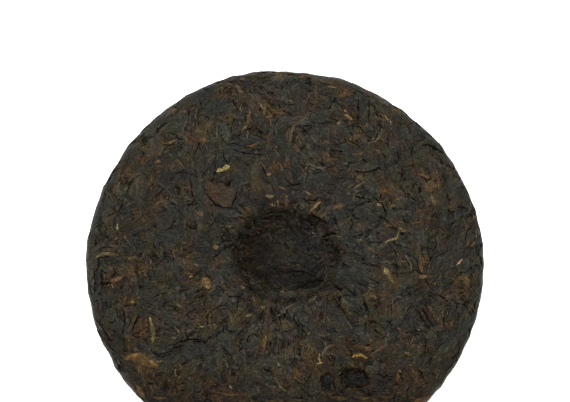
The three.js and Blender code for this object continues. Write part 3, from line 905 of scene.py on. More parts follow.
def strips(
    draw, leaves, rows, across, placed=along_and_round, thickness=0.25, blotch=0.13, tear=TEAR
):
    """Many leaves, every one a closed strip with pointed ends, a crowned and ridged top, and a keel."""
    count = len(leaves["length"])
    inner_rows = rows - 2
    t = np.linspace(-1, 1, rows)[1:-1]
    v = np.linspace(-1, 1, across)
    t, v = np.meshgrid(t, v, indexing="ij")

    def each(key):
        return leaves[key][:, None, None]

    length = each("length")
    full = (1 - np.abs(t) ** FULLNESS) ** each("blunt")
    torn = 1 + draw.normal(0, tear, (count, inner_rows, 2))
    torn = np.where(v < 0, torn[..., :1], torn[..., 1:])
    middle = each("bend") * (1 - t**2) + each("twist") * np.sin(math.pi * t) + each("offset") * full
    middle = middle + draw.normal(0, 1, (count, inner_rows, 1)) * each("wobble")
    x = t * length / 2 + draw.normal(0, LENGTHWISE_JITTER, (count, inner_rows, across)) * length
    y = middle + v * each("width") * full * torn / 2
    height = each("level") + each("tilt") * x + each("roll") * y
    height += each("crown") * (1 - v**2) - SIDE_DROOP * v**4
    height += draw.normal(0, 1, (count, 1, across)) * each("ridge")
    height += draw.normal(0, LUMPS, (count, inner_rows, across))
    height = pressed(height, each("cap"))
    keel = height.mean(2, keepdims=True) - thickness - KEEL
    x = np.concatenate([x, x.mean(2, keepdims=True)], 2)
    y = np.concatenate([y, y.mean(2, keepdims=True)], 2)
    height = np.concatenate([height, keel], 2)
    ends_x = np.array([-1.0, 1.0])[None, :, None] * length / 2
    ends_y = y[:, [0, -1], -1:]
    ends_height = height[:, [0, -1], across // 2][..., None] - END_DROP

    def listed(inside, outside):
        return np.concatenate([inside.reshape(count, -1), outside.reshape(count, 2)], 1)

    along, aside, up = listed(x, ends_x), listed(y, ends_y), listed(height, ends_height)
    distance, angle = placed(leaves, along[..., None], aside[..., None])
    distance, angle = distance[..., 0], angle[..., 0]
    points = raised(distance, angle, up)
    points[..., 2] = np.maximum(points[..., 2], (leaves["cap"] + CLEARANCE)[:, None])
    lighter, browner = patchy(distance, angle)
    hue = leaves["hue"][:, None] + leaves["hue_range"][:, None] * browner
    cast = leaves["cast"][:, None] + leaves["patched"][:, None] * cast_by_place(distance, angle)
    ring = across + 1
    per_leaf = inner_rows * ring + 2
    offset = (np.arange(count) * per_leaf)[:, None, None]
    shift = draw.uniform(0, 400, (count, 1))
    side = np.concatenate([v, np.ones((inner_rows, 1))], 1)
    side = np.concatenate([side.ravel(), [1, 1]])
    uneven = draw.normal(0, blotch, (count, per_leaf))
    # How far each point lies sunk, which the leaf materials turn into painted shade
    sunk = PAINTED_SHADE_FROM - up + HOLLOW_SHADE * hollow_depth(distance, angle)
    return {
        "points": points.reshape(-1, 3),
        "triangles": (closed_rings(inner_rows, ring)[None] + offset).reshape(-1, 3),
        "leaf": np.stack([along + shift, aside + shift], -1).reshape(-1, 2),
        "tone": np.clip(leaves["tone"][:, None] + uneven, 0, 1).ravel(),
        "hue": np.clip(hue, 0, 1).ravel(),
        "cast": cast.ravel(),
        "light": (1 + leaves["patched"][:, None] * lighter).ravel(),
        "side": np.tile(side, count),
        "sunk": np.clip(sunk, 0, 2).ravel(),
    }


PATH_STEPS = 32


def corners_of(row):
    """The corners of a leaf's line, from its row in a table."""
    return np.array(row[3:], float).reshape(-1, 2)


def placed_by_hand(draw, listing, cap=0.2, **more):
    """Leaves along lines on the back, each from a row of its table."""
    count = len(listing)
    paths = np.array([smooth_line(corners_of(row)) for row in listing])
    steps = np.linalg.norm(np.diff(paths, axis=1), axis=2)
    leaves = {
        "path": paths,
        "length": steps.sum(1),
        "width": np.array([row[0] for row in listing], float),
        "tone": np.array([row[1] for row in listing]) / 100,
        "hue": np.array([row[2] for row in listing]) / 100,
        "cap": draw.uniform(cap, cap + 0.06, count),
        "level": draw.uniform(-0.15, 0.1, count),
        "crown": draw.uniform(0.3, 0.5, count),
        "ridge": draw.uniform(0.03, 0.12, count),
        "blunt": draw.uniform(0.35, 0.75, count),
        "wobble": draw.uniform(0.05, 0.2, count),
        "cast": np.full(count, 0.5),
    }
    for key in ("bend", "twist", "offset", "tilt", "roll", "patched", "hue_range"):
        leaves[key] = np.zeros(count)
    for key, (a, b) in more.items():
        leaves[key] = draw.uniform(a, b, count)
    return leaves


def smooth_line(corners):
    """Evenly spaced points on a rounded line through a few corners."""
    for _ in range(3 if len(corners) > 2 else 0):
        start, end = corners[:-1], corners[1:]
        cut = np.stack([0.75 * start + 0.25 * end, 0.25 * start + 0.75 * end], 1).reshape(-1, 2)
        corners = np.vstack([corners[:1], cut[1:-1], corners[-1:]])
    run = np.concatenate([[0], np.cumsum(np.linalg.norm(np.diff(corners, axis=0), axis=1))])
    even = np.linspace(0, run[-1], PATH_STEPS + 1)
    return np.stack([np.interp(even, run, corners[:, 0]), np.interp(even, run, corners[:, 1])], -1)


def along_path(leaves, x, y):
    """Where points of the listed leaves lie on the skin."""
    length = leaves["length"][:, None, None]
    step = np.clip((x / length + 0.5) * PATH_STEPS, 0, PATH_STEPS - 0.001)
    before = np.floor(step).astype(int)
    which = np.arange(len(length))[:, None, None]
    start, end = leaves["path"][which, before], leaves["path"][which, before + 1]
    share = (step - before)[..., None]
    onward = (end - start) / np.maximum(np.linalg.norm(end - start, axis=-1, keepdims=True), 1e-6)
    place = start + share * (end - start)
    px = place[..., 0] - onward[..., 1] * y
    py = place[..., 1] + onward[..., 0] * y
    reach = np.minimum(np.hypot(px, py), CAKE_RADIUS - 0.1)
    return back_distance(reach), np.arctan2(py, px)


def by_hand(draw, listing, rows=11, across=4, tear=TEAR, **more):
    """Strips along lines on the back."""
    leaves = placed_by_hand(draw, listing, **more)
    return strips(draw, leaves, rows, across, along_path, blotch=0.12, tear=tear)


# How much redder a flake is towards its far left, for each millimetre
FLAKE_SLOPE = 0.035
# Points on each side of a flake, how torn and lumpy it is, its droop at the edge and its thickness
FLAKE_STEPS = 6
FLAKE_TEAR = 0.16
FLAKE_LUMPS = 0.05
FLAKE_DROOP = 0.12
FLAKE_THICKNESS = 0.75
# The sizes of the rings of a flake's top, and of its underside
FLAKE_RINGS = (1.0, 0.93, 0.75, 0.5, 0.25)
UNDERSIDE = 0.97


def flake(draw, corners, cap, tone, hue, cast):
    """A flat torn leaf with straight edges, from the corners of its outline on the back."""
    corners = np.array(corners, float)
    outline = []
    for start, end in zip(corners, np.roll(corners, -1, axis=0)):
        for share in np.arange(FLAKE_STEPS) / FLAKE_STEPS:
            outline.append(start + share * (end - start) + draw.normal(0, FLAKE_TEAR, 2))
    outline = np.array(outline)
    middle = outline.mean(0)
    count = len(outline)
    rings = [middle + (outline - middle) * scale for scale in FLAKE_RINGS]
    under = middle + (outline - middle) * UNDERSIDE
    flat = np.vstack([*rings, middle[None], under, middle[None]])
    up = np.full(len(flat), cap) + draw.normal(0, FLAKE_LUMPS, len(flat))
    up[:count] -= FLAKE_DROOP
    below = count * len(rings) + 1
    up[below:] = cap - FLAKE_THICKNESS
    reach = np.hypot(flat[:, 0], flat[:, 1])
    points = raised(back_distance(reach), np.arctan2(flat[:, 1], flat[:, 0]), up)
    index = np.arange(count)
    after = np.roll(index, -1)
    top = below - 1 - count
    triangles = [
        (top + index, top + after, np.full(count, below - 1)),
        (after, index, below + index),
        (after, below + index, below + after),
        (below + after, below + index, np.full(count, len(flat) - 1)),
    ]
    for outer in range(0, top, count):
        inner = outer + count
        triangles.append((outer + index, outer + after, inner + after))
        triangles.append((outer + index, inner + after, inner + index))
    return {
        "points": points,
        "triangles": np.vstack([np.stack(three, -1) for three in triangles]),
        "leaf": flat,
        "tone": np.full(len(flat), tone),
        "hue": np.clip(hue + FLAKE_SLOPE * (flat - middle) @ (-1, 1), 0, 1),
        "cast": np.full(len(flat), cast),
        "light": np.ones(len(flat)),
        "side": np.zeros(len(flat)),
        "sunk": np.clip(PAINTED_SHADE_FROM - up, 0, 1),
    }


# Leaf surfaces that meet at more than this angle, in degrees, keep a sharp edge
SHARP_FROM = 50
pieces = []


def add_piece(name, material, *bundles):
    """One mesh from bundles of leaves."""
    counts = [len(bundle["points"]) for bundle in bundles]
    starts = np.concatenate([[0], np.cumsum(counts)[:-1]])
    triangles = np.vstack([bundle["triangles"] + start for bundle, start in zip(bundles, starts)])
    points = np.vstack([bundle["points"] for bundle in bundles])
    attributes = [
        (key, np.concatenate([bundle[key] for bundle in bundles]))
        for key in ("leaf", "tone", "hue", "cast", "light", "side", "sunk")
    ]
    pieces.append(mesh_object(name, points, triangles, material, attributes, SHARP_FROM))


# Leaves that stand out, listed one by one: width, tone and hue in per cent, and the x and y of each corner
# of the leaf's line
GOLD_SEEN = [
    (3.2, 50, 45, -59.5, 76.5, -55.5, 76.5), (2.2, 60, 45, -53, 77, -51, 75),
    (1.6, 35, 65, -69, 56.5, -66, 56.5), (1.4, 55, 55, -71, 51.5, -68, 51.5),
    (2.2, 50, 75, -66.3, 47.5, -62.8, 48.5), (2.6, 10, 70, -20, 96, -15.5, 95),
    (2, 50, 45, -23.5, 93.5, -20.5, 93.5), (2.4, 65, 55, -25, 90, -23.5, 87, -21, 85),
    (2, 50, 55, -4, 96, 0, 93), (1.8, 60, 80, 7.5, 95.5, 10.5, 95.5),
    (2, 20, 95, -5, 75, -2.5, 75.6, -0.5, 77), (3, 50, 75, -18, 75.5, -17.6, 71, -19.5, 66, -22, 64.5),
    (1.4, 55, 60, -8, 75, -7.3, 70, -7, 66), (1.4, 40, 40, -9, 62, -8.2, 58, -8, 54),
    (1.6, 25, 90, -5, 49, -5.2, 45, -6, 41), (2.2, 85, 70, -9, 40.3, -6.5, 40.8),
    (2, 50, 70, 30, 88.5, 32, 87, 34.5, 86), (1.6, 65, 70, 31, 87, 32, 84.5),
    (2.3, 75, 70, 31, 73.5, 33, 72.5, 35, 70.5), (2.6, 45, 65, 27, 69, 29, 68),
    (3, 35, 80, 35, 62, 37, 61.5, 39.5, 61), (1.4, 15, 75, 23, 46.5, 25.5, 46),
    (2.4, 35, 45, 20.5, 58.5, 23.5, 57.5), (1.6, 65, 45, 56, 77, 59, 77),
    (1.8, 50, 80, 67, 42, 70.5, 40.5, 74, 40), (1, 35, 65, 77, 28, 78, 25),
    (1.8, 50, 80, 53.6, 24.2, 55.6, 24.4), (1.9, 60, 60, 56.2, 31.6, 57, 28),
    (1.5, 15, 80, 54.2, 28, 55.8, 28.3), (1.5, 60, 80, 53.2, 24, 54.8, 24.2),
    (2, 35, 90, -87.5, 38, -84.5, 38), (1.3, 50, 50, -57, 37, -55, 37),
    (2, 50, 65, -66, 23, -63.5, 26, -61, 28), (1.3, 60, 60, -49, -10, -44.8, -11),
    (2.6, 45, 65, -44, 20.5, -40, 19.5), (2.4, 35, 85, -49.2, -2, -46.8, -2),
    (1.8, 55, 55, -44.8, -5.2, -42.4, -6.8), (2.6, 25, 95, -20.6, 23.6, -17.4, 23),
    (1.6, 55, 50, 10, 33, 12, 31.6, 14, 31), (2.4, 65, 90, -35.5, 3, -32.5, 3),
    (2.2, 15, 80, -36, -5.4, -33, -5, -30, -5.4), (1.2, 55, 50, -32, -3.5, -30.5, -4),
    (2.8, 40, 20, 36.4, 38.2, 38.2, 39.6, 40, 37.4), (2, 60, 60, 56.2, 28, 58, 27.8),
    (2.4, 50, 90, 49.2, 15, 53, 14), (1.6, 50, 60, 74.4, -14, 73.6, -16.2),
    (2.6, 45, 100, 90.4, -12.6, 89.4, -17.4), (1.4, 40, 100, 71.2, 16, 73, 16),
    (1.5, 35, 85, 66, 22, 69, 22, 72, 23), (2.3, 55, 70, 41, -21, 43.5, -21.4, 46, -23),
    (0.8, 45, 45, 82, -18, 84, -18), (3.4, 25, 60, 70.6, -25.6, 73.2, -29.6, 75, -33.4),
    (1.5, 30, 50, 93, -26, 95, -28), (1.4, 45, 95, 55, -57, 54.8, -60.5, 54, -64),
    (1.4, 20, 85, 67, -65, 69, -65), (1.5, 50, 50, 14.2, -34, 15.8, -34),
    (1.3, 35, 60, 20.2, -34, 21.8, -34), (2.3, 30, 60, 40, -33, 44, -33), (1.3, 50, 50, 55, -37, 57, -38),
    (1.2, 50, 60, 12.8, -53, 14.4, -55.6, 14.8, -58.4),
    (1.4, 80, 80, 17.4, -49.2, 16.4, -52, 17.4, -54.6, 19.4, -54), (2, 25, 90, 7.6, -57, 8.6, -60),
    (2, 50, 80, -9, -41, -9.8, -45, -10, -49), (1.4, 15, 50, -13, -50, -10, -50),
    (2.2, 75, 50, -12.5, -28, -9.5, -28), (1.8, 90, 50, -19, -32, -16, -31),
    (1.4, 60, 65, -2, -18, 0, -19), (1.4, 40, 70, -14, -66, -12, -69), (1.6, 30, 75, -77, -45, -76, -48),
    (1.6, 60, 80, -76, -24, -74, -24), (1.3, 50, 80, -52, -30, -52, -33),
    (1.4, 55, 60, -55.5, -42, -52.5, -42), (1.2, 20, 40, -59, -43, -57, -43),
    (1.6, 30, 100, -65, -65, -64, -69), (1.4, 40, 100, 33.4, -55.6, 36, -57),
]
PALE_SEEN = [
    (0.5, 60, 60, -4, 48, 1, 41), (1, 60, 50, 49.4, 12.8, 51.6, 13.6, 54, 14),
    (0.5, 0, 80, 31.6, -60.2, 37.4, -60.2), (0.5, 0, 80, 31, -61.8, 36, -62.2),
    (0.5, 50, 60, -2, 47, -1, 41), (0.8, 50, 90, 22, 90, 27, 88.5),
    (1, 85, 30, 52, 75, 53, 72, 55, 70.5, 55, 68), (0.8, 68, 70, 44, 60, 48, 60),
    (0.9, 60, 90, -12, 79, -11.6, 76.5, -10, 75.5), (1.4, 50, 60, 29.8, 46, 32.4, 46.2),
    (0.8, 50, 80, -71, 36, -68, 38), (1.7, 50, 10, -84, 16, -84, 12),
    (3.2, 20, 50, -96.4, -7, -95.6, -15.4), (1.2, 70, 90, -84.6, 8, -83.4, 8.2),
    (1, 70, 40, -80, 8.5, -79, 8.4), (1.2, 85, 10, -47, -11.8, -45, -12.2),
    (0.6, 60, 20, -30.8, -14.6, -30.8, -16.4), (0.8, 60, 40, -50, -3, -49.4, -6),
    (1.8, 20, 30, -51, 5, -49, 5), (1.2, 10, 50, -7, 1, -5, 1.2), (1.2, 20, 50, 6, -3.5, 8, -3.5),
    (0.9, 60, 50, 31.8, 33.2, 35, 35), (1.2, 70, 30, 32, 29.4, 32.2, 31), (2.4, 30, 50, 35.5, 6, 38.5, 6),
    (0.9, 45, 60, 60.5, -2, 62.5, -5, 63, -9), (1.3, 100, 95, 88.4, -1.8, 85.2, -5.8),
    (0.7, 45, 60, 96, 13, 96, 9), (2, 30, 0, 93, 4, 95, 7), (1.1, 45, 90, 55, -22, 58, -22),
    (0.6, 35, 50, 51, -18, 51.6, -25, 52, -33), (0.5, 35, 50, 53, -20, 53.2, -30),
    (1, 35, 60, 56, -16, 60, -18), (1, 0, 0, 72, -27, 72, -29), (0.6, 70, 40, 75, -31, 76, -34),
    (1, 0, 5, 96, -22, 95, -27), (0.6, 75, 50, 63, -41, 61.5, -45), (1.6, 45, 10, 58, -49, 62, -50),
    (1, 40, 60, 60.2, -55, 62, -55), (1.2, 55, 30, 55.5, -57.6, 56.6, -58.6),
    (1.2, 15, 50, 63, -61, 65, -63), (0.7, 40, 40, 42, -50, 46, -48.3, 50, -45.5),
    (1.2, 70, 70, 11.2, -40, 12.8, -40), (0.7, 70, 40, 31, -34, 33, -38), (0.8, 30, 60, 20, -43, 20, -48),
    (1.5, 45, 70, 23, -45.2, 20, -47.6, 18, -50.4, 19.6, -52), (0.8, 85, 30, 15.6, -55, 18.6, -54),
    (1.2, 50, 60, -4, -54, -2, -56), (1.3, 35, 10, -3, -64, -1.6, -66.6, 1, -68),
    (0.9, 30, 60, -9, -38, -4, -33, 0, -29, 6, -26), (0.9, 55, 60, -12, -37, -13, -35),
    (2.2, 30, 70, -26, -24, -24, -24), (3.4, 25, 10, -26, -31, -25.4, -33.5, -24, -36),
    (1.2, 25, 60, -31, -15, -29, -15), (1.4, 40, 45, -22, -17, -20, -19),
    (0.6, 60, 40, -44, -37, -38.5, -36.8, -33, -35.5), (1.5, 35, 60, -30, -52, -28, -54, -27, -57),
    (1.2, 55, 20, -27, -65, -25, -67), (1.3, 60, 45, -53, -26, -50, -27),
    (1.1, 50, 50, -53, -57, -53.2, -59, -52.4, -61), (0.9, 50, 40, -52, -54, -50.6, -55, -50, -57),
    (0.7, 35, 90, 19, 8.6, 24, 9, 29, 7.4), (0.8, 30, 80, -90, -7.4, -89.4, -13),
    (0.5, 50, 80, -92.6, -33, -89.4, -38.4), (0.5, 50, 80, -90.4, -42.6, -88, -47),
]
# The brightest ones, which lie on top of the rest
GOLD_ON_TOP = [
    (1.8, 15, 100, 22, -70.6, 26, -71.6, 31, -71), (1.4, 20, 100, 33, -70, 37, -71.4, 41, -71),
    (1.6, 15, 95, -38, -71, -34, -70.2, -29, -71.2), (1.6, 25, 90, -64, -70.2, -61, -71.4, -57, -70.8),
    (1.4, 20, 100, 46, -69.6, 50, -71, 53, -69.8), (1.4, 30, 90, 54.6, -57.4, 55.6, -60.6, 54.8, -63),
    (1.4, 55, 45, 34.4, 32.6, 38, 35, 41, 36.8),
    (1.5, 85, 70, 13.6, 23, 15.6, 24.4, 17.6, 26.2, 19.4, 26.6),
    (1.2, 60, 60, -9.4, 79, -10.6, 75, -10.4, 71), (1.6, 35, 85, -6.4, 74.4, -3, 73.6, 1, 74.2),
    (1.4, 50, 90, -9.8, 71, -8, 71.8, -5.6, 71.4), (1.1, 35, 70, -61, 55.6, -57.6, 56.2, -55, 57.4),
    (1, 55, 50, -3.8, 29.4, -3.2, 26), (1.3, 70, 50, -7.8, 26.8, -4.8, 26.4),
    (1.5, 70, 50, -10, 30.8, -7.6, 30.2, -5.4, 30.8),
    (3.4, 30, 85, 85.4, -12, 88.4, -11.4, 90.4, -13.4, 89.6, -18),
    (1.8, 60, 60, 46, 54.6, 48, 53, 49.4, 51.4), (2.3, 35, 80, 19.4, 48.6, 22.6, 47.6, 26, 48.8),
    (1.7, 50, 50, 0.8, 31.6, 1.4, 28, 0.8, 24.8),
    (1.4, 50, 75, -63.5, 59, -60, 57.6, -57, 58.8, -54.4, 60),
    (3, 35, 85, -49.4, 61.6, -46, 60, -42, 59.8, -37.6, 58.4),
    (2.6, 40, 90, -72.4, -64, -70, -67.5, -68, -71), (2.6, 35, 100, 62.6, -72.6, 67, -71.2, 71.4, -69.6),
    (4.2, 40, 75, 72, 37, 73, 34, 73.6, 31),
    (1.1, 75, 55, 57.2, 12.6, 56.6, 9.6, 56, 7, 50.4, 6.2, 49.6, 3),
    (4.2, 25, 100, 47.4, 32.4, 52.4, 32.2), (2.2, 60, 60, 66, -12, 70.8, -11.4),
    (3.4, 35, 100, 5.2, -56.6, 5.8, -59.6, 5.8, -62.6), (2, 30, 90, 24.6, -45.6, 21.8, -47.2),
    (1.7, 75, 100, 32.6, -52, 34.6, -50.4, 37.6, -50.2, 40.6, -52.2),
    (1, 35, 70, 41, -52, 44, -48.6, 47, -47, 50.6, -44.6),
    (4.6, 55, 93, -79, -52, -74.5, -50.8, -71, -51, -68, -53.3, -61, -55.6),
    (4.2, 60, 80, -40.6, -12.6, -38.4, -15, -36.2, -18),
    (2.2, 55, 70, -86.6, -13.8, -83.6, -12.6, -80, -11.6),
    (1.3, 40, 100, -81.4, -11.8, -78, -9, -75.4, -6), (3.2, 50, 95, 67.6, -0.4, 68.1, -4.8, 67.4, -9.4),
    (1.4, 50, 70, 71, -11.8, 73.4, -11.4), (2.8, 60, 65, 24.2, 22.8, 27.4, 24, 30.4, 24),
    (2, 70, 70, 57, 13, 60.8, 11.2), (1.1, 35, 70, 30.6, -54.4, 34.8, -56.6),
    (1.9, 15, 100, 32, -60, 33, -58, 36, -57.6),
]
PALE_ON_TOP = [
    (0.9, 50, 80, 42.6, 57.6, 46, 58.4, 48.6, 60.6, 49.6, 62.6),
    (1.2, 35, 80, 11.4, 48.6, 12.6, 45.6, 15.4, 44, 19.4, 43.6, 22, 44.4),
    (2.2, 35, 15, 73.6, 31.6, 74.8, 28.6, 76, 24.6), (2.4, 85, 5, -34.3, 42, -32.6, 43.2, -30.6, 42.6),
    (2.6, 80, 5, -31.2, 43, -29.6, 44, -28, 45.4), (2.8, 45, 0, 50.6, -9.6, 51.8, -12.2, 53.6, -15),
    (2.6, 80, 10, 49.4, -7.4, 50.3, -9.2, 51.2, -11.4),
    (2.3, 40, 5, -65.8, -33, -65.2, -36.5, -64, -41, -64.4, -44.6), (1.2, 90, 5, -66, -31.4, -65.4, -37),
    (1.6, 60, 80, 46.2, 25.2, 49.2, 24), (1, 60, 60, 47.2, 26.2, 49, 26.4),
    (2.2, 40, 15, -94.4, -1.6, -91, 0.4, -86.6, 0.2, -82, -0.6),
]
BROWN_SEEN = [
    (0.8, 45, 20, -1.8, -43, -1.4, -49, -2, -55), (0.8, 40, 25, 0.8, -43, 1.2, -49, 1, -55),
    (0.8, 50, 20, 3.2, -42, 3.6, -48, 3.8, -54), (0.7, 50, 20, 5.8, -42, 6.2, -48, 6.6, -54),
    (0.8, 50, 25, 8.4, -43, 9, -48, 9.4, -53), (1.6, 100, 100, -19, 56, -16, 55.5, -13, 58),
    (1.2, 70, 90, -77, 50.5, -71, 50, -66, 50), (2, 70, 90, -84, 45, -84, 41),
    (1.9, 85, 50, 12, 77, 12.6, 74, 9.7, 70, 6.3, 68.6, 4, 66, 3.3, 62, 2.8, 58, 2.4, 54),
    (1.4, 75, 20, -34, 68, -34.5, 64, -34, 60), (1.6, 90, 70, 34, 51.5, 37.5, 50.8, 41, 53.5),
    (4, 90, 70, 73, 38, 77, 34.5), (2, 80, 60, 76, 52.5, 78, 50.5),
    (1.8, 100, 90, -2.5, 35, -1, 34, 1.5, 33.5), (2.4, 0, 50, -14, -5.5, -10, -4.5),
    (2, 30, 70, -5, 16.5, -3, 15.5), (2.6, 100, 70, 36, 14.4, 38.4, 14),
    (1.5, 70, 80, 63, 15, 66.5, 16, 70, 16), (1.5, 25, 85, 46, -24, 42, -27),
    (0.8, 70, 50, 72, -18, 76, -21, 80, -25), (1.5, 60, 85, -16, -22, -15, -26),
    (1.6, 50, 100, -37, -68, -28, -69.6, -20, -70), (1.4, 100, 85, -63, -54, -58, -53),
    (1.4, 70, 100, -71, -34, -70, -39), (1.3, 45, 35, -78, -42, -73, -42, -73, -46, -77, -48),
    (1.3, 30, 90, -88, -21, -84.5, -20.5, -81, -21, -78, -24),
]
DARK_SEEN = [
    (5, 35, 30, 41.5, 85.5, 41, 77, 40.5, 69), (5, 100, 35, -94, 0, -90, 1.6, -86, 1.5),
    (2.5, 10, 50, -34, -28, -28, -26.5), (11, 30, 15, 34, 21, 41, 20, 48, 17),
    (1.6, 80, 0, 30, -59.4, 34, -60.2, 38.6, -60), (1.4, 60, 0, 29, -61, 33, -61.4, 37, -61),
    (1.2, 90, 0, 30, -63, 34, -62.2, 38.4, -62.6), (3.6, 15, 10, -93.4, -5.6, -92.6, -15.4),
]
# Cracks as strips of painted shade, all of one hue: width, tone, and the x and y of each corner
CRACK_SHADE_SEEN = [
    (0.8, 20, -49, 76, -49, 73), (0.9, 20, -31, 53, -31, 49, -28, 46),
    (0.8, 20, -28, 55, -22, 52, -10, 51), (0.9, 20, -15, 66, -10, 62), (0.8, 20, 12, 76, 18, 73),
    (1, 20, 38.7, 85, 38.1, 77, 37.8, 69), (0.8, 20, 44.4, 84, 43.8, 77, 43.2, 69),
    (0.6, 20, 49.5, 24.4, 51.2, 20.5, 50, 17, 47.6, 15, 44.4, 11.6),
    (1, 20, 70, 57, 74, 58, 76, 55.5, 82, 54), (0.7, 20, 63, 35, 61, 34), (0.6, 20, 68.5, 36, 69.7, 36),
    (0.8, 20, -80, 28.5, -84, 22, -90, 20), (0.8, 20, -50, 25, -42, 25), (0.8, 20, -65, 8, -65, 2),
    (0.7, 20, -62, 6, -62.5, 0), (0.6, 20, -95, 1, -90, 4.2, -85, 3.4),
    (0.7, 20, -95, -1.5, -90, -1.2, -85, -0.4), (0.9, 20, 10, 30, 14, 26), (0.8, 20, 0, 35, 10, 36),
    (0.9, 20, 55, 2, 55.3, -4, 56, -9), (0.9, 20, 44, 29.5, 48, 26, 50.3, 22.5, 50.4, 19),
    (0.7, 20, 34, 29.5, 37.5, 28.2, 41, 28, 44, 27), (0.8, 20, 49.6, 18.5, 46.8, 15, 44.3, 12),
    (0.6, 20, 48.6, 19, 47.8, 16.8), (0.7, 20, 30, 21.6, 33, 21.2, 35.5, 23, 38.5, 25.5),
    (0.6, 20, 33.5, 26.5, 36.5, 24.4, 39, 21.6), (0.7, 20, 33, 19.8, 35.3, 18, 38.3, 16.6),
    (0.7, 20, 40, 24, 43, 21.6, 47, 21), (0.7, 20, 33, 7.6, 36, 8.4, 40, 9.6), (0.7, 20, 29.8, 5, 31, 2.4),
    (0.6, 20, 40.5, 5.2, 45, 5, 50, 5.8), (0.8, 20, 33.5, 0.4, 35.6, -1.3, 38.6, -1.4),
    (0.9, 20, 28, -4.6, 30, -7, 33, -7.4), (0.8, 20, 36.5, -9, 40, -8, 43, -8.8),
    (0.7, 20, 39, -12, 43, -13.8, 48, -15.6), (0.7, 20, 30, -12, 36, -15, 43, -19),
    (0.6, 20, 28, -16, 34, -21, 40, -26), (0.6, 20, 23, -21, 28, -28, 33, -36),
    (1.2, 20, 68.6, 35.2, 68.2, 31.5), (0.6, 20, 60, 31, 66, 30.8),
    (0.8, 20, 4.4, -31, 5, -34, 7.6, -37.6), (1, 20, -6.8, -28, -6, -31, -4, -32),
    (1.4, 20, -12.6, -32.6, -10.4, -33.6), (0.9, 20, -17, -28.6, -14.4, -31.6),
    (1.2, 20, -0.2, -31, 0.4, -32.6), (0.8, 20, -34.4, -28.6, -31, -26.4, -28, -26.6),
    (0.6, 20, -39, -31.6, -35, -29), (0.7, 20, -32, -36, -30, -33.6, -27, -31.6),
    (0.8, 20, -37.6, -45, -41, -43.6, -45, -44), (0.7, 20, -27.6, -37.8, -26, -39.6, -23.6, -38.8),
    (0.6, 20, -19.6, -45.6, -22, -49.4), (0.8, 20, -10, -57.4, -6, -58.8), (0.7, 20, 5, -62.6, 9, -65),
    (1, 20, 19.6, -65, 18.6, -68.6), (0.6, 20, -8, -37, -5, -34, -3, -32.6),
    (0.7, 20, -11, -36, -9.4, -33.8), (0.9, 10, -39.2, 30.6, -35, 24.8, -30, 22.6, -26.4, 22.8),
    (1.6, 70, 65, -27, 67.5, -33, 72, -38), (1.4, 60, 67.5, -26.5, 70, -31.5, 73.5, -36.5),
    (0.8, 30, 38, -22, 41, -29), (0.8, 30, 49, -33, 53, -36), (0.8, 30, -71, -30, -73.5, -34.5, -75, -39),
    (0.9, 20, -55, -46, -50, -43.2, -44, -43, -38, -43.5), (1.6, 40, -73.5, -65.5, -71, -66.5),
    (0.3, 30, -3, -42, -2.6, -49, -3, -56), (0.25, 30, -0.6, -43, 0, -49, -0.5, -55),
    (0.3, 30, 2, -42, 2.2, -50, 2.8, -56), (0.25, 30, 4.4, -42, 4.8, -48, 4.6, -54),
    (0.3, 30, 7, -43, 7.6, -50, 8.4, -56), (0.25, 30, 9.4, -42, 10.2, -48, 10.4, -53),
    (1.6, 30, 8.6, -16.9, 12, -13, 15.3, -10.8, 18.6, -12.5),
    (0.8, 30, -0.7, -7.7, 5, -6.6, 10.4, -7.1, 15.3, -10.1),
    (0.7, 30, -22.2, -0.6, -18.9, -4.2, -18.2, -10.5), (0.6, 30, -7.3, -4.5, 0.3, -7.1),
    (1.6, 20, 23.3, -15, 25.6, -17.6, 28.1, -18.8), (0.9, 20, 18.8, 10, 24, 10.4, 27, 9.4),
    (0.8, 20, 14.4, 21.6, 18.7, 17.4, 22.8, 14.5), (1.1, 20, -37.2, 36.5, -35.5, 38.3),
    (1, 20, -35, 37.8, -33.7, 36.2), (0.8, 20, -32.4, 37, -30.4, 36.4), (1, 20, -29.9, 38, -29.4, 34.3),
    (0.9, 20, -28.7, 38.5, -28.1, 35.4), (0.9, 20, -27.4, 37.2, -27.2, 34),
    (0.9, 20, -29.4, 34.6, -27.2, 34.8), (0.9, 20, -26.4, 24, -24.4, 29, -23.8, 32),
    (0.8, 20, -95.1, -5.4, -94.2, -15), (0.8, 20, -91.4, -7.6, -90.6, -14.2),
    (0.8, 20, -95.3, -31.7, -92.6, -37.7, -88, -43.6), (0.7, 20, -94.1, -31, -89.5, -36.4, -86.8, -40.4),
    (0.8, 20, -91.5, -41.7, -88.7, -47.7, -87.1, -51.6), (0.7, 20, -89, -37.4, -84.7, -43.9),
    (1.2, 20, -87.4, -56.6, -84.8, -60.5), (1, 20, -85.9, -57.5, -83.5, -55.6),
    (0.8, 20, -80.4, -26, -77.6, -34, -81, -42), (0.9, 20, 69.9, -18.3, 76.8, -21.1, 81.8, -24),
    (0.6, 20, 70.9, -17.3, 79.3, -22.1), (0.7, 20, 70.3, -19.8, 76.7, -24.6),
    (0.8, 20, 28, -57.6, 27, -61, 28.4, -65), (0.9, 20, 29.4, -65.2, 34, -66, 40, -65),
    (0.7, 20, 17.6, -60, 17.8, -65, 18.6, -69), (0.7, 20, 24.4, -60, 24, -65, 24.6, -68.4),
]
# The outline of the flat reddish flake
FLAKE_CORNERS = [
    (-38.6, 35.3), (-38.4, 30.5), (-34.5, 25.5), (-30, 23.5), (-26.7, 23.8), (-24.3, 32.2), (-29.9, 33.4),
    (-30.6, 35.7),
]

CRACK_HUE = 50
CRACK_SHADE_STRIPS = [(width, tone, CRACK_HUE, *corners) for width, tone, *corners in CRACK_SHADE_SEEN]
BROWN_ABOUT = [corners_of(row).mean(0) for row in GOLD_SEEN + GOLD_ON_TOP + BROWN_SEEN]

draw = np.random.default_rng(SEED + 1)
core_piece = core()
pieces.append(core_piece)

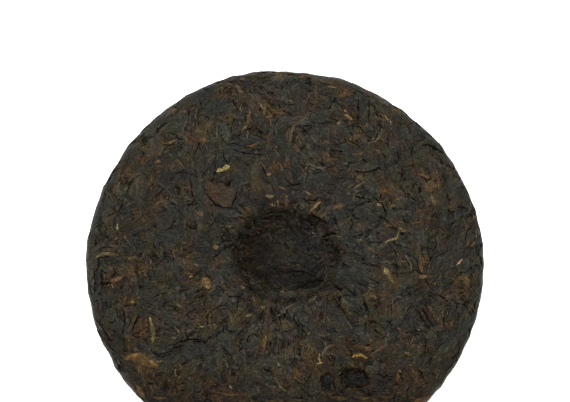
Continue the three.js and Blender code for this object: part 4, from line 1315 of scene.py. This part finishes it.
# Where leaves lie, as distances along the section, and the shape of those that lie lower
BACK = (BELLY_END, back_distance(20.0))
BELLY = (0.0, BELLY_END)
DIMPLE = (back_distance(21.0), TOTAL)
LOW = {"level": (-0.8, -0.3), "cap": (-0.55, -0.2)}
# Leaves whose middle is sunk by this much by a hollow are left out
OPEN_HOLLOW = 0.5


def crust(counts, *sizes, open_from=OPEN_HOLLOW, gathered=0.0, **more):
    """Leaves of one kind over the back and rim and over the belly, but for the hollows.

    Those that are gathered lie closer where the leaf is brown."""
    leaves = joined(*[strewn(draw, n, place, *sizes, **more) for n, place in zip(counts, (BACK, BELLY))])
    distance, angle = leaves["distance"], leaves["angle"]
    likely = 1 - gathered * (1 - np.clip(patchy(distance, angle)[1], 0, 1))
    kept = hollow_depth(distance, angle) < open_from
    kept &= draw.uniform(0, 1, len(distance)) < likely
    return picked(leaves, kept)


def edged(leaves, share):
    """A black strip along one side of some of the leaves: partly a curled leaf edge, partly painted shade
    of the gap beside it.
    """
    chosen = np.flatnonzero(draw.uniform(0, 1, len(leaves["length"])) < share)
    edges = picked(leaves, chosen)
    number = len(chosen)
    edges["offset"] = draw.choice([-0.5, 0.5], number) * edges["width"]
    edges["length"] = edges["length"] * draw.uniform(0.5, 0.95, number)
    edges["width"] = draw.uniform(0.3, 0.75, number)
    edges["level"] = np.full(number, 0.13)
    edges["crown"] = np.full(number, 0.2)
    edges["cap"] = edges["cap"] + draw.uniform(0.02, 0.08, number)
    edges["ridge"] = np.full(number, 0.03)
    edges["tone"] = draw.uniform(0, 1, number)
    return edges


# Each kind: how many on the back and the belly, lengths, widths, and hues where it isn't and is brown
under = crust((3300, 1100), (7, 17), (3, 7), (0.05, 0.95), open_from=math.inf, **LOW)
blades = crust((380, 110), (10, 24), (5, 11), (0.0, 0.8), level=(-0.1, 0.2), ridge=(0.03, 0.1))
broad = crust((1250, 400), (6, 19), (2.5, 7), (0.0, 0.9))
rolled = crust((1600, 450), (6, 20), (0.9, 2.4), (0.05, 0.85), crown=(0.4, 0.9), ridge=(0.1, 0.3))
shreds = crust(
    (5600, 1000), (1.5, 7), (0.4, 1.5), (0.1, 0.7), gathered=0.7, crown=(0.3, 0.7), cap=(-0.1, 0.18)
)
browns = crust((1500, 320), (1.5, 8), (0.5, 2), (0.3, 0.65), gathered=0.8, cap=(-0.15, 0.14))
tips = crust(
    (700, 180), (1.5, 6), (0.4, 1.4), (0.35, 0.55), gathered=0.8, cap=(-0.12, 0.16), tone=(0, 0.6)
)
stems = crust(
    (600, 150), (3, 10), (0.25, 0.6), (0.6, 0.3), gathered=0.7, cap=(-0.1, 0.18), tone=(0, 0.65)
)
edges = joined(edged(blades, 0.8), edged(broad, 0.4), edged(rolled, 0.15))
# Leaves placed on top, cracks as strips of painted shade, and veins
ON_TOP = {
    "cap": 0.4,
    "tear": 0.13,
    "wobble": (0.04, 0.1),
    "blunt": (0.6, 0.95),
    "level": (0.26, 0.32),
    "crown": (0.12, 0.2),
    "ridge": (0.05, 0.15),
}
CRACK_SHAPE = {"cap": 0.27, "wobble": (0.12, 0.3), "level": (0.16, 0.24), "crown": (0.05, 0.12)}
VEINS = {
    "wobble": (0.2, 0.45),
    "cap": (0.05, 0.2),
    "level": (-0.05, 0.15),
    "crown": (0.1, 0.3),
    "ridge": (0, 0.05),
}
# Dark veins: partly black leaf veins, partly painted shade in thin gaps
dark_veins = crust((600, 100), (3, 11), (0.25, 0.7), **VEINS)
# Pale veins: partly pale veins and stems, partly painted glints of leaf edges catching light
pale_veins_and_glints = crust(
    (1000, 150), (2.5, 9), (0.25, 0.5), (0.6, 0.3), gathered=0.75, tone=(0.1, 0.6), **VEINS
)


# The radii between which pleats lie, and over which they grow fewer
PLEATED = (66, 27)
PLEATS_FADE = (44, 64)


def pleats(count, width, **more):
    """Narrow strips that run outwards from the dimple, most of them on its near and right sides."""
    places = [back_distance(radius) for radius in PLEATED]
    leaves = strewn(draw, count, places, (7, 20), width, **more)
    leaves["heading"] = draw.choice([-1, 1], count) * math.pi / 2 + draw.normal(0, 0.16, count)
    radius = np.interp(leaves["distance"], LENGTHS, RADII)
    likely = (1 - smooth(*PLEATS_FADE, radius)) * (0.55 + 0.45 * np.cos(leaves["angle"] - PLEATED_SIDE))
    return picked(leaves, draw.uniform(0, 1, count) < likely)


# The dark pleats are partly painted shade in the folds between the pleats
dark_pleats = pleats(260, (0.3, 0.7), **VEINS)
light_pleats = pleats(170, (0.6, 1.4), crown=(0.5, 0.9), cap=(0.1, 0.22), tone=(0.45, 0.9))


# Painted light and shade on the dimple's floor: lightest in the middle, and dark to the left and along its
# front
FRONT_PAINTED_SHADE = 0.4
FLOOR_PAINTED_LIGHT_AND_SHADE = {
    9: [(3, 4, 95)],
    8: [(20, 2, 30)],
    10: [(-14, 3, -45)],
    5: [(13, -13, -50)],
    4: [(12, 12, -35)],
}


def dimple_tone(leaves):
    """Tones and hues by place for the leaves on the dimple's floor and wall, the tones with painted light
    and shade.
    """
    _, x, y = seen_from_above(leaves["distance"], leaves["angle"])
    light = patched(FLOOR_PAINTED_LIGHT_AND_SHADE, x, y) - FRONT_PAINTED_SHADE * bell(np.hypot(0.4 * x, y + 6), 0, 4)
    leaves["tone"] = np.clip(leaves["tone"] * 0.6 + 0.2 + light, 0, 1)
    leaves["hue"] = np.clip(0.35 - x / 50 + draw.normal(0, 0.15, len(x)), 0, 1)
    leaves["hue_range"] = np.zeros(len(x))
    leaves["cast"] = leaves["cast"] - 0.04
    return leaves


in_dimple = joined(
    strewn(draw, 150, DIMPLE, (6, 12), (3, 6), **LOW),
    strewn(draw, 150, DIMPLE, (4, 10), (2, 5)),
    strewn(draw, 180, DIMPLE, (3, 9), (0.6, 2)),
)

add_piece("under_leaves", DARK, strips(draw, under, 6, 3))
add_piece("leaf_blades", BLADE, strips(draw, blades, 9, 7))
add_piece(
    "broad_leaves",
    DARK,
    strips(draw, broad, 9, 5),
    by_hand(draw, DARK_SEEN, 12, 7, level=(0.1, 0.15), crown=(0.1, 0.2)),
)
add_piece("rolled_leaves", DARK, strips(draw, rolled, 9, 4), strips(draw, light_pleats, 9, 4))
add_piece("leaf_shreds", SHRED, strips(draw, shreds, 6, 3))
add_piece(
    "brown_leaves",
    BROWN,
    strips(draw, browns, 7, 4),
    by_hand(draw, BROWN_SEEN),
    flake(draw, FLAKE_CORNERS, 0.42, 0.4, 0.47, 0.1),
)
add_piece(
    "golden_tips",
    GOLD,
    strips(draw, tips, 8, 4),
    by_hand(draw, GOLD_SEEN),
    by_hand(draw, GOLD_ON_TOP, **ON_TOP),
)
add_piece(
    "pale_stems",
    PALE,
    strips(draw, stems, 8, 3),
    strips(draw, pale_veins_and_glints, 8, 2),
    by_hand(draw, PALE_SEEN),
    by_hand(draw, PALE_ON_TOP, **ON_TOP),
)
# Near-black strips: partly black leaf edges and veins, partly painted shade in gaps, folds and cracks
add_piece(
    "leaf_edges_and_gap_shade",
    EDGE_AND_GAP_SHADE,
    strips(draw, edges, 8, 3, thickness=0.1),
    strips(draw, dark_veins, 9, 2, thickness=0.1),
    strips(draw, dark_pleats, 9, 2, thickness=0.1),
    by_hand(draw, CRACK_SHADE_STRIPS, 14, 3, **CRACK_SHAPE),
)
add_piece("shaded_dimple_leaves", DULL_SHADED, strips(draw, dimple_tone(in_dimple), 8, 4))

for piece in pieces:
    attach(piece, BODY)
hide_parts(NODE)

# Floor, light and camera


def floor():
    """A plain white surface that the cake lies on."""
    bpy.ops.mesh.primitive_plane_add(size=6)
    plane = bpy.context.object
    plane.name = "floor"
    n = Nodes("white_floor")
    n.surface(
        {
            "Base Color": (0.92, 0.92, 0.92, 1),
            "Roughness": 0.9,
            "Specular IOR Level": 0.0,
            "Emission Color": (1, 1, 1, 1),
            "Emission Strength": 0.9,
        }
    )
    plane.data.materials.append(n.material)


def softbox(name, place, size, power):
    """A square area light that faces the cake."""
    data = bpy.data.lights.new(name, "AREA")
    data.shape = "SQUARE"
    data.size = size
    data.energy = power
    lamp = bpy.data.objects.new(name, data)
    lamp.location = place
    lamp.rotation_euler = lamp.location.to_track_quat("Z", "Y").to_euler()
    bpy.context.scene.collection.objects.link(lamp)


floor()
softbox("key", (-0.12, 1.1, 2.7), 1.2, 104.0)
softbox("fill", (0.6, -0.9, 1.6), 0.8, 5.0)
world = bpy.data.worlds.new("white")
world.use_nodes = True
sky = world.node_tree.nodes["Background"]
sky.inputs["Color"].default_value = (1, 1, 1, 1)
sky.inputs["Strength"].default_value = 0.2
bpy.context.scene.world = world
bpy.context.scene.view_settings.view_transform = "Standard"

# The camera looks down at the cake from the front, as worked out from the outline's shape
ELEVATION = math.radians(75.3)
CAMERA_DISTANCE = 0.6
LENS = 74.04
AIM = (0.0003, 0.0297, 0.010)

camera_data = bpy.data.cameras.new("camera")
camera_data.sensor_width = 36
camera_data.lens = LENS
camera = bpy.data.objects.new("camera", camera_data)
back = (0.0, -math.cos(ELEVATION), math.sin(ELEVATION))
camera.location = [a + CAMERA_DISTANCE * b for a, b in zip(AIM, back)]
camera.rotation_euler = (math.pi / 2 - ELEVATION, 0, 0)
bpy.context.scene.collection.objects.link(camera)
bpy.context.scene.camera = camera
